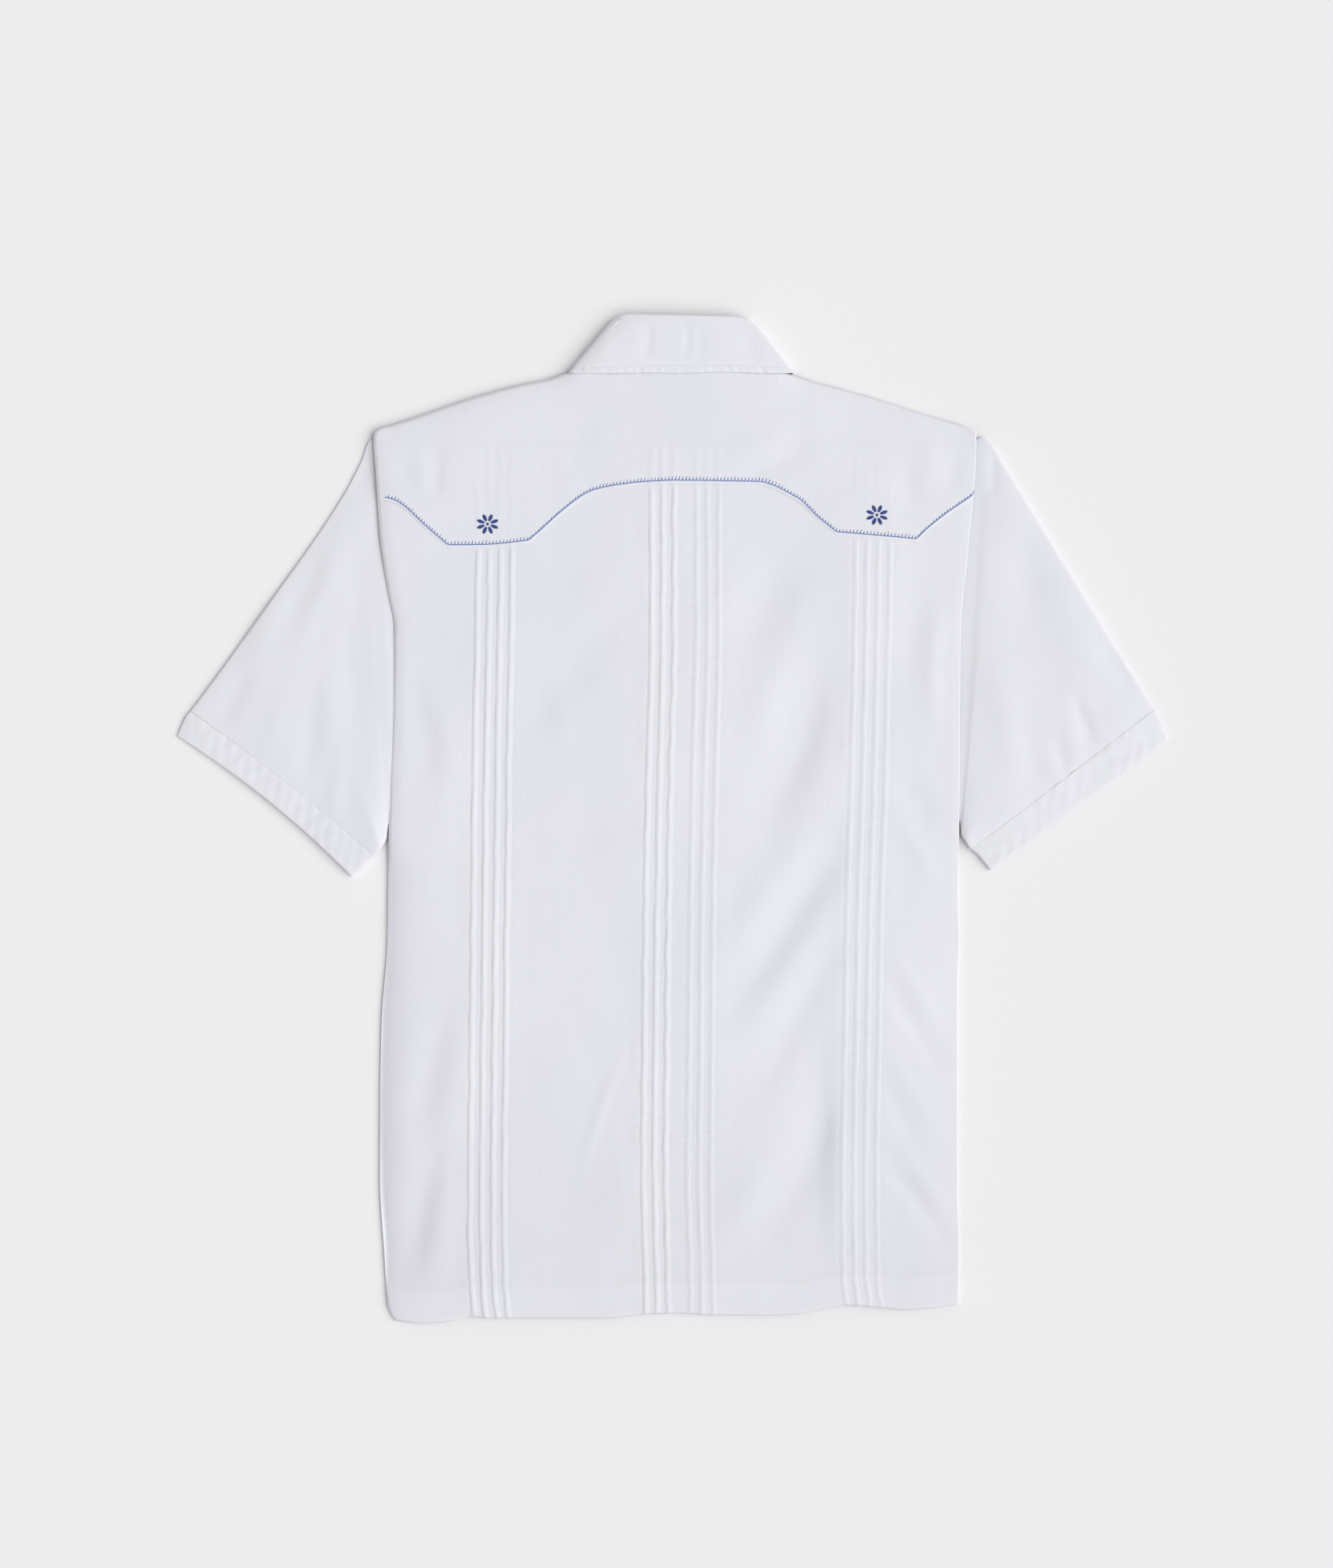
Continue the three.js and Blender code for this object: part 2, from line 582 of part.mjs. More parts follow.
// The stations of the collar from its left front end, round the back of the neck, to its right one.
function collarStations() {
  const { left, right, backHeight, sideBulge, backNeckY } = collar;
  const mixed = (a, b, share) =>
    Object.fromEntries(Object.keys(a).map((key) => [key, mix(a[key], b[key], share)]));
  const station = (spot, side, turn) => {
    const back = (1 + Math.sin(turn)) / 2;
    const bulge = side * sideBulge * (Math.abs(Math.cos(turn)) - 1);
    const neckY = mix(frontTopY(spot.neckX) + NECK_GAP, backNeckY, Math.min(1, 2 * back));
    const out = new THREE.Vector3(side * Math.cos(turn), 0, Math.sin(turn));
    return { ...spot, neckY, side, back, bulge, out, height: mix(REST, backHeight, back) };
  };
  const half = ({ side, tab, end, fold }) => [
    station({ ...end, ...tab, isTab: true }, side, -QUARTER),
    ...steps(3).map((share) => station(mixed(end, fold, share), side, -QUARTER)),
    ...steps(4)
      .slice(1, -1)
      .map((share) => station(fold, side, mix(-QUARTER, QUARTER, share))),
  ];
  const back = steps(6).map((share) => station(mixed(left.fold, right.fold, share), mix(-1, 1, share), QUARTER));
  return [...half(left), ...back, ...half(right).toReversed()];
}

// The leaf of the collar: over the roll line, then down to its outer edge.
function collarLeaf() {
  const { rollRadius, edgeDrop } = collar;
  const stations = collarStations().filter(({ isTab }) => !isTab);
  const grid = stations.map(({ rollX, rollY, edgeX: outerX, edgeY, bulge, out, height, back }) => {
    const roll = new THREE.Vector3(rollX + bulge, rollY, height);
    const edge = new THREE.Vector3(outerX + bulge, edgeY, height - edgeDrop * Math.max(0, 2 * back - 1));
    const down = edge.clone().sub(roll).setZ(0).normalize();
    const axis = roll.clone().addScaledVector(down, rollRadius).addScaledVector(out, -rollRadius);
    const turned = [1, 0.66, 0.33].map((share) =>
      axis
        .clone()
        .addScaledVector(out, rollRadius * Math.cos(share * Math.PI))
        .addScaledVector(down, -rollRadius * Math.sin(share * Math.PI)),
    );
    const start = axis.clone().addScaledVector(out, rollRadius);
    return [...turned, ...steps(3).map((share) => start.clone().lerp(edge, share))];
  });
  return clothWall(grid);
}

// The stand of the collar: from just under the roll line to the neck seam, with a tab at either front end.
function collarStand() {
  const { rollRadius, overlapX, overlapSlope } = collar;
  const grid = collarStations().map(({ topX, topY, neckX, neckY, bulge, out, height, side }) => {
    const place = (x, y) => {
      const onTop = side > 0.99 && out.z < -0.99;
      const over = onTop ? LAYER * (1 - ramp(x, overlapX, overlapX + overlapSlope)) : 0;
      return new THREE.Vector3(x + bulge, y, height + over).addScaledVector(out, -2 * rollRadius);
    };
    const top = place(topX, topY);
    const foot = place(neckX, neckY);
    return steps(3).map((share) => top.clone().lerp(foot, share));
  });
  return clothWall(grid);
}

const manifold = await Module();
manifold.setup();

// A manifold solid as a three.js geometry.
function toGeometry(solid) {
  const mesh = solid.getMesh();
  const geometry = new THREE.BufferGeometry();
  geometry.setAttribute("position", new THREE.Float32BufferAttribute(mesh.vertProperties, mesh.numProp));
  geometry.setIndex([...mesh.triVerts]);
  return geometry;
}

// A four-hole button, its dished face down on the surface.
function button() {
  const { radius, thickness, rim, dish, hole, holeReach } = BUTTON;
  const profile = [
    [0, dish],
    [radius - rim - 0.5, dish],
    [radius - rim, 0],
    [radius, 0.2],
    [radius, thickness],
    [0, thickness],
  ];
  const disc = manifold.CrossSection.ofPolygons([profile]).revolve(16);
  const holes = [45, 135, 225, 315].map((angle) =>
    manifold.Manifold.cylinder(3 * thickness, hole, hole, 6, true)
      .translate([holeReach, 0, 0])
      .rotate([0, 0, angle]),
  );
  return toGeometry(disc.subtract(manifold.Manifold.union(holes)));
}

const fabric = { color: 0xe9eaf0, roughness: 0.85, metalness: 0 };
const shell = { color: 0xf1f0ea, roughness: 0.35, metalness: 0 };

const shirt = new THREE.Group();
function add(name, geometry, finish = fabric) {
  const mesh = new THREE.Mesh(geometry, new THREE.MeshStandardMaterial(finish));
  mesh.name = name;
  shirt.add(mesh);
  return mesh;
}

add("back_panel", backPanel());
add("back_yoke", backYoke());
add("front_left", frontPanel(-1, CENTRE_FRONT - PLACKET_WIDTH / 2 - GAP, 0));
add("front_right", frontPanel(1, CENTRE_FRONT - PLACKET_WIDTH / 2 + 2, LAYER));
add("front_placket", placket());
for (const [name, shape] of Object.entries(sleeveShapes)) {
  add(`sleeve_${name}`, sleeve(shape));
  add(`cuff_${name}`, cuff(shape));
}
add("collar_leaf", collarLeaf());
add("collar_stand", collarStand());

const placketButtons = steps(PLACKET_BUTTONS - 1).map(
  (share) => TOP_BUTTON_Y - share * (PLACKET_BUTTONS - 1) * BUTTON_PITCH,
);
[STAND_BUTTON_Y, ...placketButtons].forEach((y, i) => {
  add(`button_${i + 1}`, button(), shell).position.set(CENTRE_FRONT, y, 0);
});

export default shirt;
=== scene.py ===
"""The looks of a white short-sleeved guayabera shirt, buttoned and laid out face down.

Tables are in millimetres, in the part's own frame: +X towards the wearer's right, +Y towards the collar, and
+Z up from the surface that the shirt lies on.
"""

import logging
import math
from collections.abc import Callable, Iterable, Sequence
from dataclasses import dataclass, field
from enum import Enum

import bmesh
import bpy
import numpy as np
from mathutils import Matrix, Vector


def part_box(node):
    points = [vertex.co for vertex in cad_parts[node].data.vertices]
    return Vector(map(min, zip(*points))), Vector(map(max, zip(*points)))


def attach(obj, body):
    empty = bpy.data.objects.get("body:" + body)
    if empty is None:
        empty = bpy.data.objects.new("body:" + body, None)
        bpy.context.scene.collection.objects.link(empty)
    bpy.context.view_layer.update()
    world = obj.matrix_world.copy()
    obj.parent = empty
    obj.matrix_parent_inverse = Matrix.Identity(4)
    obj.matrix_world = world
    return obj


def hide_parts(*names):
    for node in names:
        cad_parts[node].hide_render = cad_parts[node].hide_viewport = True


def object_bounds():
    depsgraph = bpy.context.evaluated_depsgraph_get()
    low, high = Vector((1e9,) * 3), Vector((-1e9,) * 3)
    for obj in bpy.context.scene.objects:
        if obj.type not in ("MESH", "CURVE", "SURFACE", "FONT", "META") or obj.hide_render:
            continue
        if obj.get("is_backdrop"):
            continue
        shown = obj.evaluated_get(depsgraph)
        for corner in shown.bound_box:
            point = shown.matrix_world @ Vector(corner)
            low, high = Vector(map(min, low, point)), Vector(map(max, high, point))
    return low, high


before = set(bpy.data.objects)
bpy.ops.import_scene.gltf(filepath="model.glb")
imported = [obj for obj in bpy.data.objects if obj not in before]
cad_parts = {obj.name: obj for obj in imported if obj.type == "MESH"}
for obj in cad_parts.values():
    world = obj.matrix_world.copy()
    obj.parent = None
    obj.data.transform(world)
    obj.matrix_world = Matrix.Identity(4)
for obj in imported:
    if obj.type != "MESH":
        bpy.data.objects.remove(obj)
CAD_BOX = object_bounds()

LOG = logging.getLogger("guayabera")
MM = 0.001
QUARTER = math.pi / 2
Array = np.ndarray


class Side(Enum):
    """The wearer's left or right, as the sign of its x."""

    LEFT = -1
    RIGHT = 1


class Hang(Enum):
    """Whether a wall of cloth faces up or down."""

    UP = 1
    DOWN = -1


def ramp(value: Array, low: float, high: float) -> Array:
    """A smooth step from 0 at low to 1 at high.

    Args:
        value: Where it is read.
        low: Where it leaves 0.
        high: Where it reaches 1.

    Returns:
        The step at each value.
    """
    share = np.clip((np.asarray(value, float) - low) / (high - low), 0, 1)
    return share * share * (3 - 2 * share)


def mix(start: Array, end: Array, share: Array) -> Array:
    """The value a share of the way from start to end."""
    return start + (end - start) * share


def bump_at(value: Array, middle: float, width: float) -> Array:
    """A rounded bump of height 1 at its middle, which has fallen to a third at its width."""
    return np.exp(-(((value - middle) / width) ** 2))


def tail(distance: Array, reach: Array) -> Array:
    """What is left, out of 1, at a distance from an edge, held at 1 past the edge."""
    return np.exp(-np.maximum(distance, 0) / reach)


@dataclass(frozen=True)
class Curve:
    """A smooth curve through the rows of a table, which doesn't overshoot them.

    Attributes:
        rows: Pairs of a place and the value there, the places rising.
        corners: The places where the curve keeps a kink.
    """

    rows: tuple[tuple[float, float], ...]
    corners: tuple[float, ...] = ()

    def __call__(self, place: Array) -> Array:
        """The curve's value at each place, held past its ends."""
        at, value = np.array(self.rows, float).T
        rise = np.diff(value) / np.diff(at)
        inner = np.where(
            rise[:-1] * rise[1:] > 0,
            2 * rise[:-1] * rise[1:] / np.where(rise[:-1] + rise[1:] == 0, 1, rise[:-1] + rise[1:]),
            0,
        )
        before = np.concatenate([[rise[0]], inner, [rise[-1]]])
        after = before.copy()
        for corner in self.corners:
            i = int(np.argmin(abs(at - corner)))
            before[i], after[i] = rise[i - 1], rise[i]
        p = np.clip(np.asarray(place, float), at[0], at[-1])
        i = np.clip(np.searchsorted(at, p, side="right") - 1, 0, len(at) - 2)
        span = at[i + 1] - at[i]
        u = (p - at[i]) / span
        start, end, change = after[i] * span, before[i + 1] * span, value[i + 1] - value[i]
        return value[i] + u * (start + u * (3 * change - 2 * start - end + u * (start + end - 2 * change)))


@dataclass(frozen=True)
class Fold:
    """A soft ridge, or a trough where its rise is negative, along a run of points.

    Attributes:
        run: The points that it follows, in x and y.
        width: Half its width, where it has fallen to a third.
        rise: Its height halfway along.
        lean: From -1 to 1, how much steeper its left side is than its right, seen along its run.
    """

    run: tuple[tuple[float, float], ...]
    width: float
    rise: float
    lean: float = 0.0

    def __call__(self, x: Array, y: Array) -> Array:
        """The height that the fold adds at each point."""
        knots = np.array(self.run, float)
        length = np.concatenate([[0], np.cumsum(np.hypot(*np.diff(knots, axis=0).T))])
        share = np.linspace(0, 1, 15)
        path = [
            Curve(tuple(zip(length / length[-1], column)))(share) for column in knots.T
        ]
        best = np.full(np.shape(x), 1e9)
        offset = np.zeros(np.shape(x))
        along = np.zeros(np.shape(x))
        for i in range(len(share) - 1):
            ax, ay = path[0][i], path[1][i]
            dx, dy = path[0][i + 1] - ax, path[1][i + 1] - ay
            reach = np.clip(((x - ax) * dx + (y - ay) * dy) / (dx * dx + dy * dy), 0, 1)
            away = np.hypot(x - ax - reach * dx, y - ay - reach * dy)
            nearer = away < best
            side = np.sign(dx * (y - ay) - dy * (x - ax))
            best = np.where(nearer, away, best)
            offset = np.where(nearer, side * away, offset)
            along = np.where(nearer, mix(share[i], share[i + 1], reach), along)
        width = self.width * (1 - self.lean * np.tanh(offset / self.width * 2))
        taper = ramp(along, 0, 0.4) * (1 - ramp(along, 0.6, 1))
        return self.rise * taper * np.exp(-((offset / width) ** 2))


def rises(folds: Iterable[Fold], x: Array, y: Array) -> Array:
    """The height that several folds add at each point."""
    return sum((fold(x, y) for fold in folds), np.zeros(np.shape(x)))


def waves(x: Array, y: Array, period: float, seed: int, stretch: float = 1.0, count: int = 7) -> Array:
    """Smooth uneven waves of about unit height, the same on each run.

    Args:
        x: Where they are read.
        y: Where they are read.
        period: Their usual length from crest to crest.
        seed: Which waves they are.
        stretch: How many times longer they are along y.
        count: How many waves are added up.

    Returns:
        The waves' height at each point.
    """
    dice = np.random.default_rng(seed)
    total = np.zeros(np.shape(x))
    for _ in range(count):
        angle, phase = dice.uniform(0, 2 * math.pi, 2)
        size = period * dice.uniform(0.65, 1.5)
        across = np.asarray(x) * math.cos(angle) + np.asarray(y) * math.sin(angle) / stretch
        total = total + np.sin(2 * math.pi * across / size + phase)
    return total / math.sqrt(count)


# ---------------------------------------------------------------------------------------------------- the cut

ROLL = {-1: 3.4, 1: 0.9}  # how far in from its left and right outlines the cloth is still turning
SEAM_HEIGHT = 2.0
CENTRE_FRONT = 7.0
PLACKET_WIDTH = 34.0
PLACKET_LIFT = 2.5
BUTTONS = 7
YOKE_MARGIN = 3.4
PANEL_TOP = 303.0
TUCK_WIDTH = 4.2
TUCK_HEIGHT = 0.58
TUCK_PITCH = 9.1
HEM_DEPTH = 28.0
HEM_ALLOWANCE = 4.0  # how far above the hem band the back's close rows go on
SEAM_THREAD = 0.16  # the radius of the white thread of the seams
STITCH = 2.1
STITCH_GAP = 0.8
LEFT_FALL = (6.2, 2.0)  # how far the back falls off at its left edge, beside the side seam and the armhole
RIGHT_FALL = (1.3, 0.5)
SHOULDER_DEPTH = 3.2  # how far it falls off at the shoulder seams
DOME = (3.2, 5.0)  # how much lower it lies at its left and its right than in its middle
HALF_WIDTH = 232.0

LEFT_EDGE = Curve((
    (-407, -223.5), (-392, -230), (-350, -233), (-289, -236.4), (-225, -236.2), (-162, -235), (-98, -230.4),
    (-35, -229.6), (29, -228.2), (92, -225.8), (156, -224.6), (181, -229), (207, -233.4), (232, -236.6),
    (283, -239.8), (308, -241.5), (314, -240.5), (364, -240),
))
RIGHT_EDGE = Curve((
    (-407, 230), (-392, 231), (-350, 231.6), (-300, 230.6), (-130, 230.6), (-100, 232), (-60, 230.9),
    (0, 231.5), (110, 232.2), (156, 232.9), (181, 234.7), (207, 237.8), (232, 239.8), (257, 242.4),
    (300, 245.2), (364, 245.8),
))
LOFT = Curve((
    (-407, 6.6), (-385, 7.6), (-345, 9.2), (-270, 10.8), (-130, 11.6), (110, 11.6), (262, 11.0), (330, 10.2),
    (364, 9.6),
))
HEM = Curve((
    (-240, -400), (-226, -404.8), (-208, -407), (-189, -406), (-172, -403.6), (-163, -401), (-150, -402.4),
    (-50, -402.6), (-36, -401), (-24, -399.2), (4, -398.6), (32, -399.9), (75, -400.4), (103, -399.2),
    (122, -395.6), (141, -392.2), (166, -394), (190, -396), (206, -394.8), (230, -391.6), (240, -390),
))
SHOULDER = Curve((
    (-241, 312.5), (-236, 316), (-227, 318.8), (-202, 327.2), (-176, 336.4), (-151, 344), (-126, 350.6),
    (-100, 356), (-86, 360.5), (-70, 362), (84, 362), (100, 358), (116, 353), (141, 346.4), (167, 339.2),
    (192, 331), (218, 322.9), (238, 316.4), (246, 312),
))
SHOULDER_FALL = Curve((
    (-240, 0.15), (-226, 0.8), (-189, 1), (-94, 1), (-80, 0.4), (-70, 0), (84, 0), (94, 0.4), (106, 1),
    (192, 1), (232, 0.8), (245.5, 0.15),
))
FRONT_TOP = Curve((
    (-240, 313), (-226, 318.5), (-189, 332), (-151, 343.5), (-113, 352.5), (-94, 356), (-84, 352), (-68, 338),
    (-42, 318), (-14, 304.5), (7, 302), (28, 304.5), (56, 318), (82, 338), (98, 351), (107, 354.5), (128, 349),
    (154, 343.5), (192, 331), (232, 317.8), (245.5, 312.5),
))
FRONT_FALL = Curve((
    (-240, 0), (-226, 0.8), (-189, 1), (-94, 1), (-84, 0.4), (-68, 0), (82, 0), (98, 0.4), (107, 1), (192, 1),
    (232, 0.8), (245.5, 0),
))
YOKE_STITCHES = Curve(
    (
        (-244, 262.5), (-232, 260.6), (-224, 258.4), (-217, 254), (-199, 237.4), (-181, 222), (-150, 222.4),
        (-116, 225.8), (-110, 231), (-86, 252.3), (-72, 262.5), (-65, 266), (-45, 270.4), (-23, 272.9),
        (2, 274.1), (38, 273.7), (71, 273), (81, 270.3), (93, 264.4), (104, 258), (116, 246), (132.5, 232.5),
        (160, 230.3), (197, 227), (205, 235), (223, 249.3), (237, 258.8), (248, 267),
    ),
    corners=(-181, -116, 132.5, 197),
)


@dataclass(frozen=True)
class TuckGroup:
    """A group of pin tucks that run down the back together.

    Attributes:
        name: Which group it is.
        middle: The x of the group's middle, by y.
        tucks: Each tuck's place, in pitches from the middle, and the side that its free edge faces.
        crisp: How sharply the free edges stand, on the left half and the right half.
        shows: How much of them shows through the yoke.
    """

    name: str
    middle: Curve
    tucks: tuple[tuple[float, int], ...]
    crisp: tuple[float, float]
    shows: float = 0.2

    def reach(self) -> tuple[float, float]:
        """How far the group goes to either side of its middle."""
        places = [at * TUCK_PITCH for at, _ in self.tucks]
        return min(places) - TUCK_PITCH * 0.8, max(places) + TUCK_PITCH * 0.8

    def height(self, x: Array, y: Array) -> Array:
        """How far the tucks stand out of the back at each point.

        Args:
            x: Where it is read.
            y: Where it is read.

        Returns:
            The height, with each tuck's edges wavering a little along it.
        """
        total = np.zeros(np.shape(x))
        for i, (at, free) in enumerate(self.tucks):
            seed = 11 * i + len(self.name)
            crisp = self.crisp[int(at > 0)]
            sway = 0.3 * waves(0 * y, y, 24, seed) + 0.2 * waves(0 * y, y, 11, seed + 1)
            across = (x - self.middle(y) - at * TUCK_PITCH - sway) * -free + TUCK_WIDTH / 2
            edge = 0.5 / crisp
            face = ramp(across, -edge, edge)
            back = 1 - ramp(across, TUCK_WIDTH * 0.35, TUCK_WIDTH * 1.2)
            sink = bump_at(across, TUCK_WIDTH * 1.15, 1.1) + 0.6 * bump_at(across, -1, 0.8)
            swell = 1 + 0.16 * waves(0 * y, y, 30, seed + 2)
            total = total + TUCK_HEIGHT * crisp * swell * (face * back - 0.1 * sink)
        return total


TUCK_GROUPS = (
    TuckGroup(
        "left",
        Curve((
            (-407, -144.5), (-398, -146.2), (-372, -148.2), (-320, -149.5), (-289, -149.3), (-200, -148.2),
            (29, -145.7), (225, -142.6), (303, -142.4),
        )),
        ((-1.5, -1), (-0.5, -1), (0.5, -1), (1.5, -1)),
        (1.1, 1.1),
    ),
    TuckGroup(
        "centre",
        Curve((
            (-399, 5.6), (-372, 5.4), (-289, 3.4), (-200, 4.2), (-85, 5.4), (29, 7.4), (156, 10.4), (303, 10.4),
        )),
        ((-2.95, -1), (-1.95, -1), (-0.95, -1), (0.95, 1), (1.95, 1), (2.95, 1)),
        (1.1, 0.72),
        0.5,
    ),
    TuckGroup(
        "right",
        Curve((
            (-393, 154.5), (-370, 151.5), (-289, 150.6), (-200, 152), (-66, 154.4), (29, 157.4), (225, 161.4),
            (303, 161.6),
        )),
        ((-1.5, 1), (-0.5, 1), (0.5, 1), (1.5, 1)),
        (0.75, 0.7),
    ),
)

BACK_FOLDS = (
    # the panel between the centre and the right tucks
    Fold(((142, 148), (116, 116), (107, 71), (84, 18), (61, -30)), 20, -2.5, 0.3),
    Fold(((168, 112), (138, 66), (116, 10), (92, -60)), 21, 1.5, 0.0),
    Fold(((99, 224), (73, 177), (48, 113)), 20, -1.6, 0.0),
    Fold(((128, 214), (100, 160), (80, 100), (52, 44)), 17, 1.4, 0.0),
    Fold(((148, 14), (124, -30), (98, -76), (70, -118), (44, -152), (26, -176)), 19, -2.6, 0.25),
    Fold(((146, -60), (120, -112), (94, -168), (68, -214), (40, -250)), 19, -2.1, 0.25),
    Fold(((140, -36), (112, -92), (80, -148), (48, -192)), 17, 1.5, 0.0),
    Fold(((124, 16), (92, -40), (58, -96), (36, -128)), 15, 1.2, 0.0),
    Fold(((60, -35), (42, -78)), 13, -1.0, 0.0),
    Fold(((140, -196), (120, -246), (96, -300), (64, -356)), 18, -1.7, 0.2),
    Fold(((114, -120), (118, -240), (112, -370)), 12, -1.0, 0.2),
    Fold(((134, -190), (134, -280), (130, -380)), 9, 0.7, 0.0),
    Fold(((90, -262), (60, -310), (34, -352)), 16, 1.1, 0.0),
    # the panel outside the right tucks
    Fold(((200, 198), (192, 151), (186, 80)), 16, -1.0, 0.0),
    Fold(((216, 190), (210, 130), (212, 60)), 9, 1.2, 0.0),
    Fold(((175, 40), (194, 18), (214, -10)), 10, -1.4, 0.0),
    Fold(((176, 10), (196, -20), (218, -60)), 8, 0.9, 0.0),
    Fold(((170, -96), (194, -132), (222, -176)), 7, 0.8, 0.2),
    Fold(((167, -118), (190, -160), (207, -187), (224, -216)), 7, -1.1, -0.3),
    Fold(((167, -180), (190, -212), (224, -262)), 6, 0.8, 0.2),
    Fold(((167, -207), (180, -232), (202, -268)), 6, -0.8, -0.3),
    Fold(((165, -268), (190, -300), (212, -328), (226, -352)), 7, -1.5, -0.3),
    Fold(((170, -250), (200, -286), (224, -326)), 6, 0.9, 0.0),
    # the panel between the left and the centre tucks
    Fold(((-24, 172), (-54, 148), (-85, 116), (-110, 98)), 20, -1.4, 0.0),
    Fold(((-34, 214), (-64, 182), (-104, 156)), 20, 0.7, 0.0),
    Fold(((-40, 130), (-74, 92), (-112, 60)), 19, 0.9, 0.0),
    Fold(((-121, 118), (-104, 92), (-119, 71)), 12, -0.7, 0.0),
    Fold(((-127, -3), (-112, -20), (-96, -34)), 11, -0.7, 0.0),
    Fold(((-112, -40), (-84, -70), (-48, -60)), 22, 0.6, 0.0),
    Fold(((-36, -180), (-46, -206), (-56, -232), (-66, -262), (-76, -294)), 3.4, 0.7, 0.45),
    Fold(((-60, -70), (-40, -130), (-34, -190)), 22, -0.9, 0.0),
    Fold(((-104, -150), (-84, -220), (-92, -300)), 28, 0.8, 0.0),
    Fold(((-44, -250), (-40, -310), (-48, -360)), 20, 0.6, 0.0),
    # the panel outside the left tucks
    Fold(((-210, 130), (-208, 103), (-197, 58), (-200, 10)), 12, -1.3, 0.2),
    Fold(((-184, 120), (-182, 40), (-190, -60)), 16, 0.8, 0.0),
    Fold(((-178, -120), (-188, -170), (-200, -222), (-212, -280)), 13, -1.4, 0.0),
    Fold(((-170, -160), (-178, -230), (-186, -300)), 12, 0.9, 0.0),
    Fold(((-186, -236), (-198, -290), (-208, -340), (-218, -392)), 13, -1.7, 0.2),
    Fold(((-180, -270), (-186, -330), (-194, -386)), 11, 1.0, 0.0),
)
YOKE_FOLDS = (
    Fold(((118, 312), (99, 296), (66, 281), (40, 277)), 11, -1.1, 0.0),
    Fold(((110, 330), (70, 304), (30, 292)), 11, 0.7, 0.0),
    Fold(((-192, 312), (-190, 288), (-193, 250)), 8, -0.8, 0.3),
    Fold(((-222, 300), (-212, 276), (-197, 246)), 10, -0.7, 0.0),
    Fold(((-206, 306), (-202, 282), (-204, 250)), 8, 0.5, 0.0),
    Fold(((228, 304), (227, 285), (224, 262)), 8, -0.7, 0.0),
    Fold(((184, 290), (190, 262), (194, 238)), 9, -0.7, 0.0),
    Fold(((204, 320), (208, 290), (206, 256)), 10, 0.6, 0.0),
    Fold(((-60, 330), (-56, 308), (-64, 282)), 15, 0.4, 0.0),
    Fold(((-110, 300), (-104, 276), (-110, 250)), 13, -0.4, 0.0),
)

UNDERARM = {Side.LEFT: -16.0, Side.RIGHT: -12.0}


def in_armhole(side: Side, y: Array) -> Array:
    """How far up a side is in its armhole: 0 at the side seam, 1 where the sleeve comes out."""
    return ramp(y, UNDERARM[side] - 32, UNDERARM[side] + 4)


def hem_band(x: Array, y: Array) -> Array:
    """The height that the folded hem adds at each point, with the groove of its stitches."""
    up = y - HEM(x)
    turned = 0.5 * (1 - ramp(up, HEM_DEPTH - 0.9, HEM_DEPTH + 1.1))
    groove = 0.3 * bump_at(up, HEM_DEPTH - 2.4, 1.1)
    edge = 0.9 * (1 - ramp(up, 0, 3.0)) ** 2
    return turned - groove - edge


def back_height(x: Array, y: Array, folds: Sequence[Fold] = BACK_FOLDS + YOKE_FOLDS) -> Array:
    """The height of the back's cloth away from its edges, with its folds."""
    left, right = x - LEFT_EDGE(y), RIGHT_EDGE(y) - x
    left_open, right_open = in_armhole(Side.LEFT, y), in_armhole(Side.RIGHT, y)
    left_fall = mix(*LEFT_FALL, left_open) * tail(left, mix(13, 7, left_open))
    right_fall = mix(*RIGHT_FALL, right_open) * tail(right, 22)
    shoulder = SHOULDER_DEPTH * SHOULDER_FALL(x) * tail(SHOULDER(x) - y, 9)
    off = x - 2
    dome = np.where(off > 0, DOME[1], DOME[0]) * (off / HALF_WIDTH) ** 2 * (1 - 0.5 * ramp(y, -40, 60))
    centre = 0.5 * (1 - ramp(abs(x - CENTRE_FRONT), 18, 85))
    drift = 0.34 * waves(x, y, 110, 5, 1.7) + 0.08 * waves(x, y, 42, 6, 1.5)
    low = 1 - ramp(y, -400, -330)
    height = LOFT(y) - 0.6 + centre + drift - dome * (1 - 0.7 * low) - left_fall * (1 - 0.6 * low)
    return height - right_fall - shoulder + rises(folds, x, y)


def front_lift(x: Array, y: Array) -> Array:
    """How much higher the fronts lie over the placket's buttons and under the collar."""
    off = abs(x - CENTRE_FRONT)
    placket = 1 - ramp(off, PLACKET_WIDTH / 2 + 1, PLACKET_WIDTH / 2 + 55)
    neck = ramp(y, 222, 262) * (1 - ramp(off, 92, 122))
    return PLACKET_LIFT * np.maximum(placket, neck)


# -------------------------------------------------------------------------------------------------- materials


def new_material(name: str, values: dict[str, object]) -> tuple[bpy.types.Material, bpy.types.Node]:
    """Makes a material.

    Args:
        name: Its name.
        values: What its shader's inputs are set to.

    Returns:
        The material and its shader.
    """
    material = bpy.data.materials.new(name)
    material.use_nodes = True
    shader = material.node_tree.nodes["Principled BSDF"]
    for key, value in values.items():
        shader.inputs[key].default_value = value
    return material, shader


